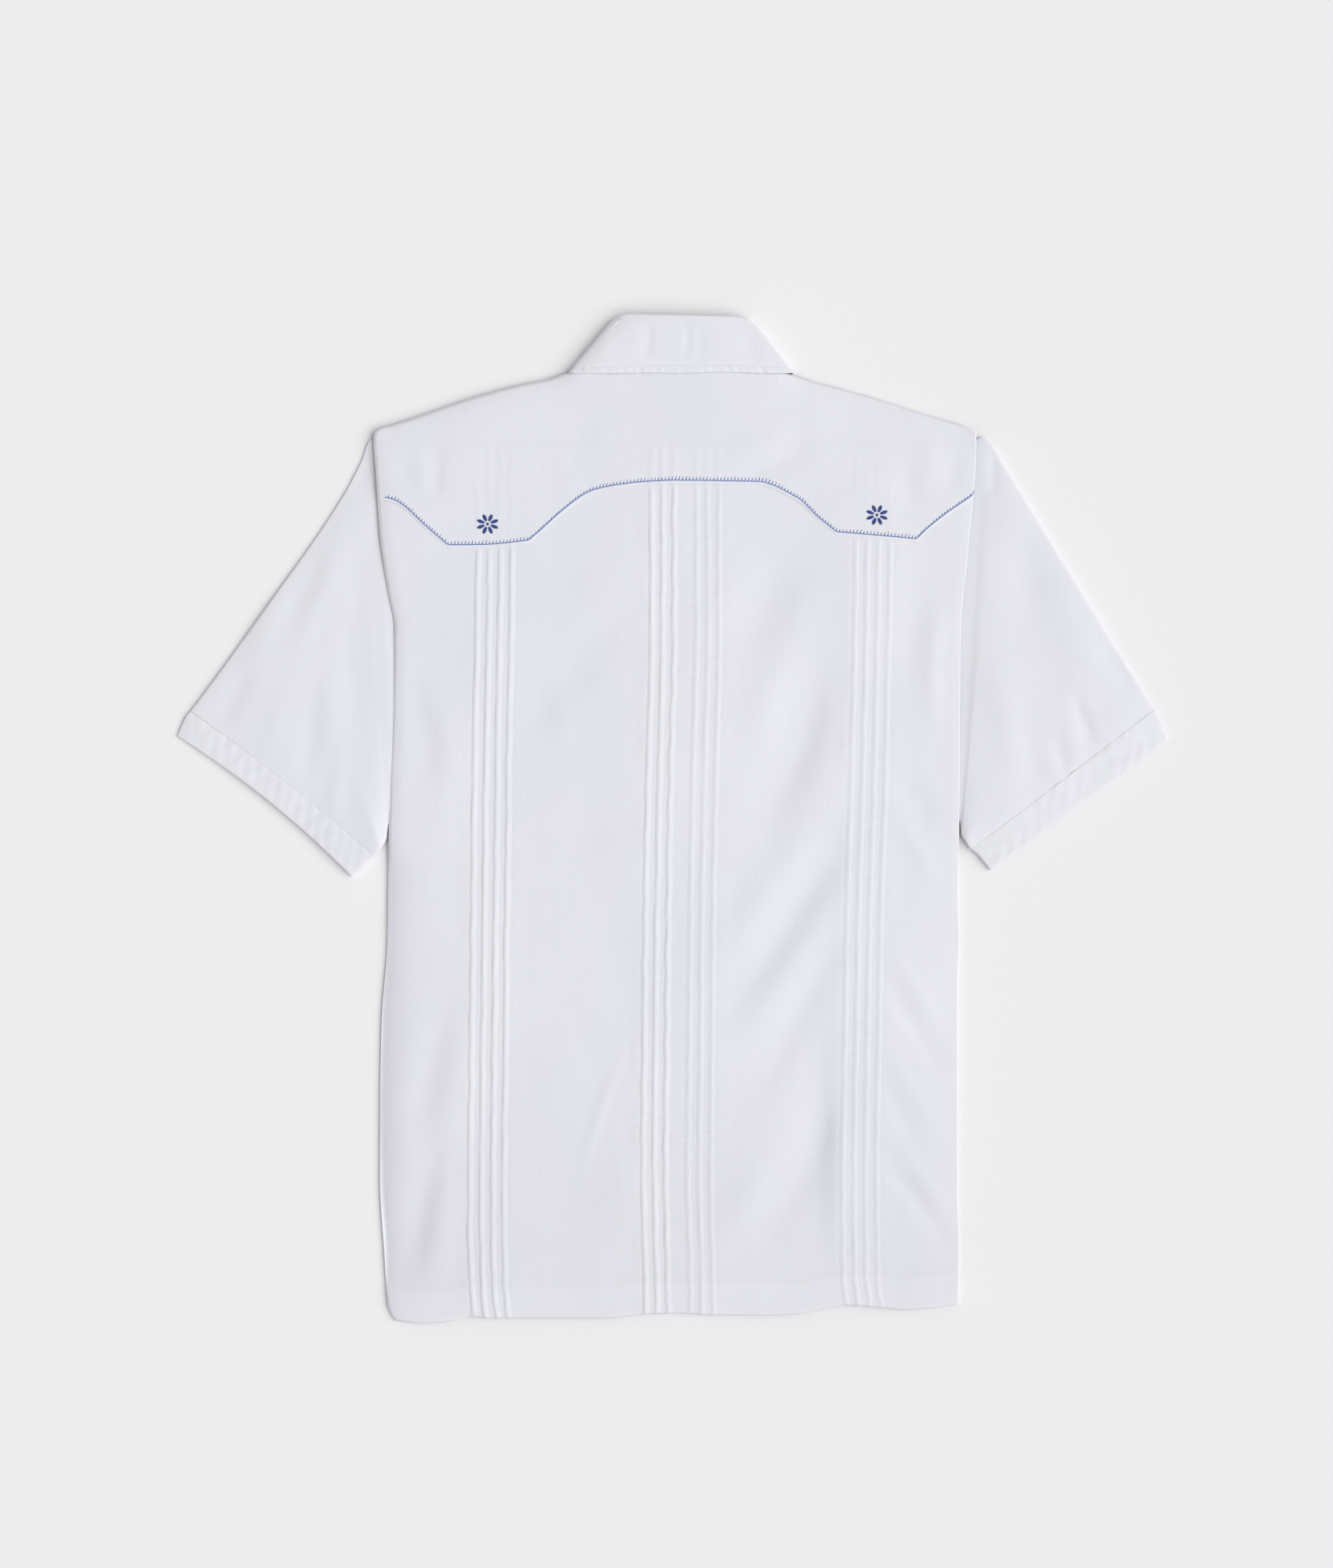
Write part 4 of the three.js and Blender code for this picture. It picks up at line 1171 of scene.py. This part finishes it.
@dataclass
class Fronts:
    """The two fronts and the placket, which the shirt lies on."""

    wardrobe: Wardrobe
    column_cells: tuple[int, ...] = (6, 70)
    row_cells: tuple[int, ...] = (6, 70, 8)
    rest: float = 0.35
    right_lap: float = 1.2
    placket_groove: float = 6.0
    buttonhole: float = 14.0
    buttonhole_thread: float = 0.3

    def place(self, side: Side, column: Array, row: Array, end: float) -> tuple[Array, Array, Array]:
        """Where a point of a front goes.

        Args:
            side: Which front it is.
            column: 0 at the outline, 1 where its turn ends and 2 near the buttons.
            row: 0 at the hem, 1 above its band, 2 where the shoulder's turn begins and 3 at the top.
            end: The x of its edge near the buttons.

        Returns:
            The point's x, y and z.
        """
        outline = LEFT_EDGE if side is Side.LEFT else RIGHT_EDGE
        roll = ROLL[side.value]
        guess = np.interp(row, [0, 1, 2, 3], [-400, -370, 310, 320])
        for _ in range(3):
            edge = outline(guess)
            x = between([edge, edge - side.value * roll, np.full_like(edge, end)], column)
            low, top = HEM(x), FRONT_TOP(x)
            guess = between([low, low + HEM_DEPTH, top - 5, top], row)
        y = guess
        over = 1 - ramp(abs(x - CENTRE_FRONT), PLACKET_WIDTH / 2 + 1, PLACKET_WIDTH / 2 + 14)
        z = self.rest + front_lift(x, y) + over * self.right_lap * (side is Side.RIGHT)
        turn = np.clip(3 - row, 0, 1)
        rise = np.maximum(0, SEAM_HEIGHT - 0.3 - z) * FRONT_FALL(x) * (1 - np.sin(turn * QUARTER))
        z = z + np.where(row > 2, rise, 0)
        share = np.clip(column, 0, 1)
        sewn = 1 - in_armhole(side, y)
        closed = (SEAM_HEIGHT - 0.65) * (1 - np.sin(share * QUARTER)) * sewn
        bend = side.value * roll * (share - 1 + np.cos(share * QUARTER)) * sewn
        return np.where(share < 1, x + bend, x), y, z + closed

    def build(self) -> None:
        """Makes both fronts, the placket, the buttonholes and the buttons' threads."""
        near = CENTRE_FRONT - PLACKET_WIDTH / 2
        for side, end, flat, area, facing in (
            (Side.LEFT, near - 0.3, (235, 762), 165000, Hang.DOWN),
            (Side.RIGHT, near + 2, (252, 762), 177000, Hang.UP),
        ):
            name = side.name.lower()
            piece = ClothPiece(
                f"front_{name}_cloth", (f"front_{name}",), spread(self.column_cells), spread(self.row_cells), flat,
                area, facing=facing,
            )
            piece.build(
                lambda column, row, side=side, end=end: self.place(side, column, row, end), self.wardrobe.cotton
            )
        self.build_placket()
        self.sew_buttonholes()

    def build_placket(self) -> None:
        """Makes the placket, with a stitched groove beside either edge."""
        piece = ClothPiece(
            "placket", ("front_placket",), np.linspace(-0.5, 0.5, 41), np.linspace(0, 1, 201), (34, 704), 23900,
            thickness=1.0, facing=Hang.DOWN,
        )
        in_from_middle = PLACKET_WIDTH / 2 - self.placket_groove

        def shape(column: Array, row: Array) -> tuple[Array, Array, Array]:
            """Where the placket's points go."""
            off = column * PLACKET_WIDTH
            x = CENTRE_FRONT + off
            y = mix(HEM(x), FRONT_TOP(x) - 0.4, row)
            return x, y, 0.6 + PLACKET_LIFT + 0.25 * bump_at(abs(off), in_from_middle, 0.8)

        piece.build(shape, self.wardrobe.plain)
        edges = Stitching("placket_stitches")
        for off in (-in_from_middle, in_from_middle):
            y = np.linspace(-396, 300, 200)
            edges.run(np.column_stack([0 * y + CENTRE_FRONT + off, y, 0 * y + PLACKET_LIFT + 0.3]))
        edges.finish(self.wardrobe.white)

    def sew_buttonholes(self) -> None:
        """Sews a buttonhole and a crossed thread at each button, and gives the buttons their finish."""
        holes = Stitching("buttonholes", self.buttonhole_thread)
        reach = self.buttonhole / 2
        for k in range(BUTTONS):
            button = f"button_{k + 1}"
            low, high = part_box(button)
            middle = (low + high) / 2 / MM
            for side in (-1, 1):
                for step in np.linspace(-reach, reach, 24):
                    x, y = middle.x + side * 0.75, middle.y + step
                    holes.thread((x, y, PLACKET_LIFT), (x + side * 0.9, y, PLACKET_LIFT))
            for way in (1, -1):
                holes.thread((middle.x - 1, middle.y - way, 0.62), (middle.x + 1, middle.y + way, 0.62))
            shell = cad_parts[button].data.materials
            shell.clear()
            shell.append(self.wardrobe.shell)
        holes.finish(self.wardrobe.white)


# ------------------------------------------------------------------------------------------------ the sleeves


SLEEVE_FLOOR = 1.7  # the least height of a sleeve's upper layer
SLEEVE_REST = 0.35


@dataclass(frozen=True)
class SleeveCut:
    """A sleeve's shape, by how far along it is: 0 inside the armhole, 1 at its cuff's seam, 2 at its end.

    Attributes:
        side: Which sleeve it is.
        over: The over-arm fold's x and y.
        under: The underarm fold's x and y.
        bow: How far the line between them curves outwards.
        top: The height of its upper layer.
        fall: How far it falls off at its over-arm fold, and over what distance.
        folds: Its folds.
    """

    side: Side
    over: tuple[Curve, Curve]
    under: tuple[Curve, Curve]
    bow: Curve
    top: Curve
    fall: tuple[float, float]
    folds: tuple[Fold, ...]

    def line(self, along: Array, share: Array) -> tuple[Array, Array]:
        """The x and y of a point a share of the way from the over-arm fold to the underarm one."""
        ox, oy, ux, uy = (c(along) for c in (*self.over, *self.under))
        dx, dy = ux - ox, uy - oy
        length = np.hypot(dx, dy)
        bow = self.bow(along) * 4 * share * (1 - share)
        out_x, out_y = -self.side.value * dy / length, self.side.value * dx / length
        return ox + dx * share + out_x * bow, oy + dy * share + out_y * bow

    def surface(self, x: Array, y: Array, along: Array) -> Array:
        """The height of the sleeve's upper layer with its folds."""
        over_x, over_y, under_x, under_y = (c(along) for c in (*self.over, *self.under))
        off = np.hypot(x - over_x, y - over_y)
        on = np.hypot(x - under_x, y - under_y)
        deep, reach = self.fall
        fall = deep * tail(off, reach) + 0.8 * tail(on, 8)
        height = self.top(along) - fall + 0.3 * waves(x, y, 60, 31) + rises(self.folds, x, y)
        return SLEEVE_FLOOR + np.logaddexp(0, (height - SLEEVE_FLOOR) * 2) / 2


SLEEVES = (
    SleeveCut(
        Side.LEFT,
        over=(
            Curve((
                (0, -224), (0.1, -244), (0.16, -251), (0.24, -265), (0.6, -325), (1, -389.4), (1.12, -393.6),
                (2, -400.6),
            )),
            Curve((
                (0, 290), (0.1, 306.5), (0.16, 291), (0.24, 264), (0.6, 176.6), (1, 88.6), (1.12, 84), (2, 68),
            )),
        ),
        under=(
            Curve((
                (0, -203), (0.1, -229.8), (0.16, -231), (0.6, -236), (1, -240.6), (1.12, -242.5), (2, -259),
            )),
            Curve(((0, 24), (0.1, -5), (0.16, -15), (0.6, -24), (1, -30), (1.12, -31.5), (2, -46))),
        ),
        bow=Curve(((0, 0), (0.16, 1), (0.6, 0), (1, -3), (2, -5.4))),
        top=Curve(((0, 3.4), (0.1, 3.8), (0.3, 5.4), (0.6, 7.4), (0.9, 6.9), (1, 6.5), (2, 5.6))),
        fall=(4.4, 30),
        folds=(
            Fold(((-226, 260), (-230, 150), (-232, 60), (-234, -90)), 20, 3.2, 0.0),
            Fold(((-262, 250), (-270, 170), (-276, 90), (-282, 20)), 12, 0.9, 0.0),
            Fold(((-262, 236), (-286, 180), (-304, 130)), 9, 0.7, 0.0),
            Fold(((-276, 226), (-304, 170), (-334, 120)), 11, -0.8, 0.0),
            Fold(((-288, 130), (-292, 70), (-302, 16)), 10, -0.9, 0.0),
            Fold(((-312, 130), (-322, 70), (-336, 36)), 11, 0.7, 0.0),
            Fold(((-266, 60), (-272, 20), (-274, -10)), 7, 0.6, 0.0),
            Fold(((-338, 130), (-356, 96), (-376, 72)), 9, -0.9, 0.0),
        ),
    ),
    SleeveCut(
        Side.RIGHT,
        over=(
            Curve((
                (0, 230), (0.1, 250), (0.16, 257), (0.24, 268), (0.6, 326), (1, 389), (1.12, 391.4), (2, 400.6),
            )),
            Curve(((0, 290), (0.1, 309.5), (0.16, 304), (0.24, 286), (0.6, 191), (1, 90), (1.12, 87), (2, 64))),
        ),
        under=(
            Curve(((0, 205), (0.1, 232.6), (0.16, 233.4), (0.6, 237), (1, 240.6), (1.12, 243), (2, 257))),
            Curve(((0, 24), (0.1, -3), (0.16, -12), (0.6, -18), (1, -23.6), (1.12, -25), (2, -41))),
        ),
        bow=Curve(((0, 0), (0.16, 1), (0.6, 1), (1, 0.4), (2, 0.2))),
        top=Curve(((0, 4.4), (0.1, 5.6), (0.2, 6.7), (0.6, 8.0), (0.9, 7.2), (1, 6.7), (2, 5.6))),
        fall=(2.4, 26),
        folds=(
            Fold(((258, 306), (259, 282), (258, 254)), 5, -0.9, 0.0),
            Fold(((276, 250), (288, 200), (296, 130), (311, 88)), 17, -1.3, 0.0),
            Fold(((306, 210), (326, 150), (350, 108)), 14, 0.7, 0.0),
            Fold(((322, 104), (330, 84), (342, 56)), 6, -1.3, 0.0),
            Fold(((304, 66), (312, 54), (322, 34)), 6, -0.9, 0.0),
            Fold(((316, 80), (324, 62), (332, 42)), 6, 0.6, 0.0),
            Fold(((256, 160), (268, 90), (282, 10)), 13, 0.9, 0.0),
            Fold(((280, 120), (288, 60), (298, 10)), 12, -0.7, 0.0),
            Fold(((344, 150), (362, 120), (380, 94)), 9, -1.0, 0.0),
        ),
    ),
)


@dataclass
class Sleeve:
    """A short sleeve, flattened, and its turned-up cuff."""

    wardrobe: Wardrobe
    cut: SleeveCut
    around: tuple[int, ...] = (8, 92, 8, 36)
    along_cells: tuple[int, ...] = (6, 12, 92)
    stops: tuple[float, ...] = (0.0, 0.1, 0.2, 1.01)
    rolls: tuple[float, float] = (1.4, 1.2)
    cuff_lift: float = 0.5
    cuff_depth: float = 5.6
    cuff_profile: tuple[tuple[float, float], ...] = (
        (1.06, -0.5), (1.03, -0.1), (1.0, 0.25), (1.03, 0.7), (1.1, 0.95), (1.25, 1.0), (1.4, 1.02),
        (1.55, 1.04), (1.7, 1.02), (1.82, 0.98), (1.92, 0.85), (1.98, 0.55), (2.0, 0.1), (1.98, -0.35),
        (1.9, -0.6), (1.7, -0.65), (1.4, -0.65), (1.2, -0.6), (1.06, -0.5),
    )

    def ring(self, place: Array, along: Array) -> tuple[Array, Array, Array]:
        """Where a point goes, from how far round and how far along the sleeve it is.

        Args:
            place: 0 to 1 round the over-arm fold, to 2 across the top, to 3 round the underarm, to 4 below.
            along: How far along the sleeve it is, as its cut counts.

        Returns:
            The point's x, y and z.
        """
        over, under = ([curve(along) for curve in line] for line in (self.cut.over, self.cut.under))
        edge = self.rolls[int(self.cut.side is Side.RIGHT)] / np.hypot(under[0] - over[0], under[1] - over[1])
        angle_over = mix(-QUARTER, QUARTER, np.clip(place, 0, 1))
        angle_under = mix(QUARTER, -QUARTER, np.clip(place - 2, 0, 1))
        parts = [place < 1, (place > 2) & (place <= 3), place > 3]
        share = np.select(
            parts,
            [edge * (1 - np.cos(angle_over)), 1 - edge * (1 - np.cos(angle_under)), mix(1 - edge, edge, place - 3)],
            mix(edge, 1 - edge, place - 1),
        )
        side = np.select(parts, [np.sin(angle_over), np.sin(angle_under), -1 + 0 * place], 1)
        x, y = self.cut.line(along, share)
        top = self.cut.surface(x, y, along)
        bottom = np.interp(along, [0, 0.1, 0.16, 1], [2.3, 2.3, SLEEVE_REST, SLEEVE_REST])
        return x, y, (top + bottom) / 2 + (top - bottom) / 2 * side

    def cuff(self, place: Array, k: Array) -> tuple[Array, Array, Array]:
        """Where a point of the cuff goes, from how far round it is and its row of the profile."""
        along, lift = np.array(self.cuff_profile).T[:, k]
        x, y, z = self.ring(place, along)
        pucker = 0.22 * waves(x, y, 13, 41) * np.clip(lift, 0, 1)
        upper = np.clip((z - SLEEVE_REST) / 4, 0, 1)
        depth = np.where(lift < 0, self.cuff_depth, self.cuff_lift)
        return x, y, z + lift * depth * upper + pucker * upper

    def build(self) -> None:
        """Makes the sleeve, then its cuff as one band turned up over the sleeve's end."""
        name = self.cut.side.name.lower()
        facing = Hang.UP if self.cut.side is Side.RIGHT else Hang.DOWN
        round_ = spread(self.around) % 4
        sleeve = ClothPiece(
            f"sleeve_{name}_cloth", (f"sleeve_{name}",), round_,
            np.interp(spread(self.along_cells), range(4), self.stops), (614, 250), 69000, facing=facing, closed=True,
        )
        sleeve.build(self.ring, self.wardrobe.cotton)
        cuff = ClothPiece(
            f"cuff_{name}_cloth", (f"cuff_{name}",), round_, np.arange(len(self.cuff_profile)), (384, 54), 17000,
            thickness=0, facing=facing, closed=True,
        )
        cuff.build(self.cuff, self.wardrobe.plain)


# ------------------------------------------------------------------------------------------------- the collar


@dataclass(frozen=True)
class CollarSpot:
    """Where the collar's lines lie at one place round the neck: its roll line, its edge and its neck seam."""

    roll: tuple[float, float]
    edge: tuple[float, float]
    top: tuple[float, float]
    neck: float


@dataclass
class Collar:
    """The collar's leaf, turned down over its stand."""

    wardrobe: Wardrobe
    back_height: float = 12.8
    roll_radius: float = 1.5
    bulges: tuple[float, float] = (4.0, 1.6)
    edge_drop: float = 1.0
    seam_in: float = 6.0
    stand_in: float = 2.5
    left_fold: CollarSpot = CollarSpot((-44.4, 408), (-84.5, 360.2), (-47, 404.6), -76)
    left_end: CollarSpot = CollarSpot((1, 338), (-28, 276), (-1, 336.4), -3)
    right_fold: CollarSpot = CollarSpot((62.5, 405.6), (98, 360.4), (64, 402.6), 90)
    right_end: CollarSpot = CollarSpot((13, 338), (42, 276), (15, 336.4), 17)
    cells: tuple[int, ...] = (36, 20, 130, 20, 36)
    folds: tuple[Fold, ...] = (
        Fold(((-22, 404), (-19, 388), (-24, 368)), 5, -0.6, 0.2),
        Fold(((8, 406), (12, 390), (10, 368)), 4, -0.5, -0.2),
        Fold(((26, 400), (22, 384), (26, 366)), 4, -0.4, 0.0),
        Fold(((52, 398), (60, 384), (74, 368)), 7, -0.5, 0.0),
        Fold(((-48, 398), (-54, 384), (-64, 368)), 7, 0.4, 0.0),
    )

    def spots(self, place: Array) -> dict[str, Array]:
        """The collar's lines at places round the neck.

        Args:
            place: 0 to 1 along the left front, to 2 round the left side, to 3 across the back, and so on to 5.

        Returns:
            Each line's x and y, and the way out of the cloth there.
        """
        marks = (
            self.left_end, self.left_fold, self.left_fold, self.right_fold, self.right_fold, self.right_end,
        )
        turn = np.interp(place, range(6), [-QUARTER, -QUARTER, QUARTER, QUARTER, -QUARTER, -QUARTER])
        turn = np.where((place > 3) & (place < 4), QUARTER - (place - 3) * 2 * QUARTER, turn)
        side = np.interp(place, [0, 2, 3, 5], [-1, -1, 1, 1])
        line = {
            key: np.interp(place, range(6), [getattr(mark, name)[k] for mark in marks])
            for key, name, k in (
                ("roll_x", "roll", 0), ("roll_y", "roll", 1), ("edge_x", "edge", 0), ("edge_y", "edge", 1),
                ("top_x", "top", 0), ("top_y", "top", 1),
            )
        }
        line["neck_x"] = np.interp(place, range(6), [mark.neck for mark in marks])
        back = (1 + np.sin(turn)) / 2
        line["bulge"] = side * np.where(side < 0, *self.bulges) * (abs(np.cos(turn)) - 1)
        line["out_x"], line["out_z"] = side * np.cos(turn), np.sin(turn)
        line["height"] = mix(0.6, self.back_height, back)
        line["back"] = back
        return line

    def rounded(self, x: Array, y: Array) -> tuple[Array, Array]:
        """Draws points in near the collar's two upper corners, which rounds them."""
        for spot, (way_x, way_y), size in (
            (self.left_fold, (0.42, -0.91), 1.3), (self.right_fold, (-0.46, -0.89), 2.3),
        ):
            near = size * np.exp(-(((x - spot.roll[0]) ** 2 + (y - spot.roll[1]) ** 2) / (3.4 * size) ** 2))
            x, y = x + near * way_x, y + near * way_y
        return x, y

    def leaf(self, place: Array, down: Array) -> tuple[Array, Array, Array]:
        """Where a point of the leaf goes.

        Args:
            place: How far round the neck it is.
            down: From -1, under the roll, to 0, where the leaf has turned over, to 1 at its edge.

        Returns:
            The point's x, y and z.
        """
        s = self.spots(place)
        dx, dy = s["edge_x"] - s["roll_x"], s["edge_y"] - s["roll_y"]
        length = np.hypot(dx, dy)
        ux, uy = dx / length, dy / length
        r = self.roll_radius
        angle = np.clip(-down, 0, 1) * math.pi
        fallen = np.clip(down, 0, 1) * (length - r)
        reach = r - r * np.sin(angle) + fallen
        out = -r + r * np.cos(angle)
        from_edge = length - r - fallen
        seam = 0.28 * bump_at(from_edge, self.seam_in, 0.9)
        margin = 0.22 * waves(s["roll_x"] + place * 90, from_edge, 8, 51, 3) * (1 - ramp(from_edge, 1, 8))
        thin = 0.5 * (1 - ramp(from_edge, 0, 2.2)) ** 2
        x = s["roll_x"] + s["bulge"] + ux * reach
        y = s["roll_y"] + uy * reach + 0.5 * waves(x, 0 * x, 60, 52) * (1 - ramp(from_edge, 0, 30)) * s["back"]
        fallen_share = np.clip(down, 0, 1)
        puff = 0.6 * np.sin(fallen_share * math.pi) + rises(self.folds, x, y) * ramp(fallen_share, 0.02, 0.2)
        puff = puff * s["back"]
        lift = out + (margin - seam) * (down > 0) - thin + puff
        left = x + 44.4 + (408 - y) * 0.839
        right = 62.5 + (405.6 - y) * 0.785 - x
        fall = 4.2 * tail(left, 12) + 0.5 * tail(right, 16)
        drop = self.edge_drop * np.clip(down, 0, 1) + fall
        z = s["height"] - drop * np.maximum(0, 2 * s["back"] - 1)
        x, y = self.rounded(x + s["out_x"] * lift, y)
        return x, y, z + s["out_z"] * np.where(s["out_z"] < 0, out, lift)

    def stand(self, place: Array, down: Array) -> tuple[Array, Array, Array]:
        """Where a point of the stand goes, from its top at 0 to the neck seam at 1."""
        s = self.spots(place)
        neck_y = mix(FRONT_TOP(s["neck_x"]) + 2.2, 362.6, np.clip(2 * s["back"], 0, 1))
        x = mix(s["top_x"], s["neck_x"], down) + s["bulge"] - s["out_x"] * self.stand_in
        y = mix(s["top_y"], neck_y, down)
        lap = 1.4 * (place > 4) * (1 - ramp(x, 22, 48))
        x, y = self.rounded(x, y)
        return x, y, s["height"] + lap - s["out_z"] * self.stand_in

    def build(self) -> None:
        """Makes the leaf and the stand and sews the leaf's edge."""
        columns = spread(self.cells)
        leaf = ClothPiece(
            "collar_leaf_cloth", ("collar_leaf",), columns, np.interp(range(53), [0, 12, 40, 52], [-1, 0, 0.8, 1]),
            (396, 72), 19600, thickness=0.7,
        )
        leaf.build(self.leaf, self.wardrobe.plain)
        stand = ClothPiece(
            "collar_stand_cloth", ("collar_stand",), columns, np.linspace(0, 1, 17), (404, 48), 15400, thickness=0.9
        )
        stand.build(self.stand, self.wardrobe.plain)
        rows = Stitching("collar_stitches")
        place = np.linspace(0.06, 4.94, 700)
        s = self.spots(place)
        length = np.hypot(s["edge_x"] - s["roll_x"], s["edge_y"] - s["roll_y"]) - self.roll_radius
        x, y, z = self.leaf(place, 1 - self.seam_in / length)
        path = np.column_stack([x + s["out_x"] * 0.5, y, z + s["out_z"] * 0.5])
        rows.run(path, 2.0)
        rows.finish(self.wardrobe.white)


# ------------------------------------------------------------------------------------------------- the studio


@dataclass
class Studio:
    """A pale floor, soft light and the camera straight above."""

    eye: tuple[float, float, float] = (-0.0048, 0.0289, 3.0)
    lens: float = 85.1
    floor_colour: tuple[float, float, float] = (0.872, 0.858, 0.866)
    floor_half: float = 6.0
    floor_drop: float = 0.0003
    fill: float = 0.455

    def build(self) -> None:
        """Makes the floor, the lights and the camera."""
        scene = bpy.context.scene
        camera = add_object("camera", bpy.data.cameras.new("camera"))
        camera.location = self.eye
        camera.data.lens = self.lens
        camera.data.clip_end = 50
        scene.camera = camera
        mesh = bpy.data.meshes.new("floor")
        floor = bmesh.new()
        bmesh.ops.create_grid(floor, x_segments=2, y_segments=2, size=self.floor_half)
        bmesh.ops.translate(floor, verts=floor.verts, vec=(0, 0, -self.floor_drop))
        floor.to_mesh(mesh)
        floor.free()
        material, _ = new_material(
            "floor_paper", {"Base Color": (*self.floor_colour, 1), "Roughness": 0.9, "Specular IOR Level": 0.0}
        )
        mesh.materials.append(material)
        obj = add_object("floor", mesh)
        obj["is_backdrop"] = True
        self.light("key", (3.4, -0.75, 3.9), 62.0, 2.235)
        world = bpy.data.worlds.new("studio")
        world.use_nodes = True
        world.node_tree.nodes["Background"].inputs["Color"].default_value = (1, 0.998, 1, 1)
        world.node_tree.nodes["Background"].inputs["Strength"].default_value = self.fill
        scene.world = world
        scene.view_settings.view_transform = "Standard"

    def light(self, name: str, place: tuple[float, float, float], width: float, power: float) -> None:
        """Adds a soft light, far off, that faces the shirt.

        Args:
            name: Its name.
            place: Where it shines from.
            width: How wide it looks from the shirt, in degrees.
            power: What it gives, in watts to the square metre.
        """
        data = bpy.data.lights.new(name, "SUN")
        data.angle, data.energy = math.radians(width), power
        lamp = add_object(name, data)
        lamp.location = place
        lamp.rotation_mode = "QUATERNION"
        lamp.rotation_quaternion = (-Vector(place)).to_track_quat("-Z", "Y")


def main() -> None:
    """Builds the shirt piece by piece, then the studio."""
    logging.basicConfig(level=logging.INFO)
    wardrobe = Wardrobe()
    Back(wardrobe).build()
    Yoke(wardrobe).build()
    Fronts(wardrobe).build()
    for cut in SLEEVES:
        Sleeve(wardrobe, cut).build()
    Collar(wardrobe).build()
    Studio().build()
    bpy.context.view_layer.update()
    boxes = {
        name: [list(corner) for corner in box] for name, box in (("cad", CAD_BOX), ("visual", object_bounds()))
    }
    LOG.info("boxes: %s", boxes)


if __name__ == "__main__":
    main()
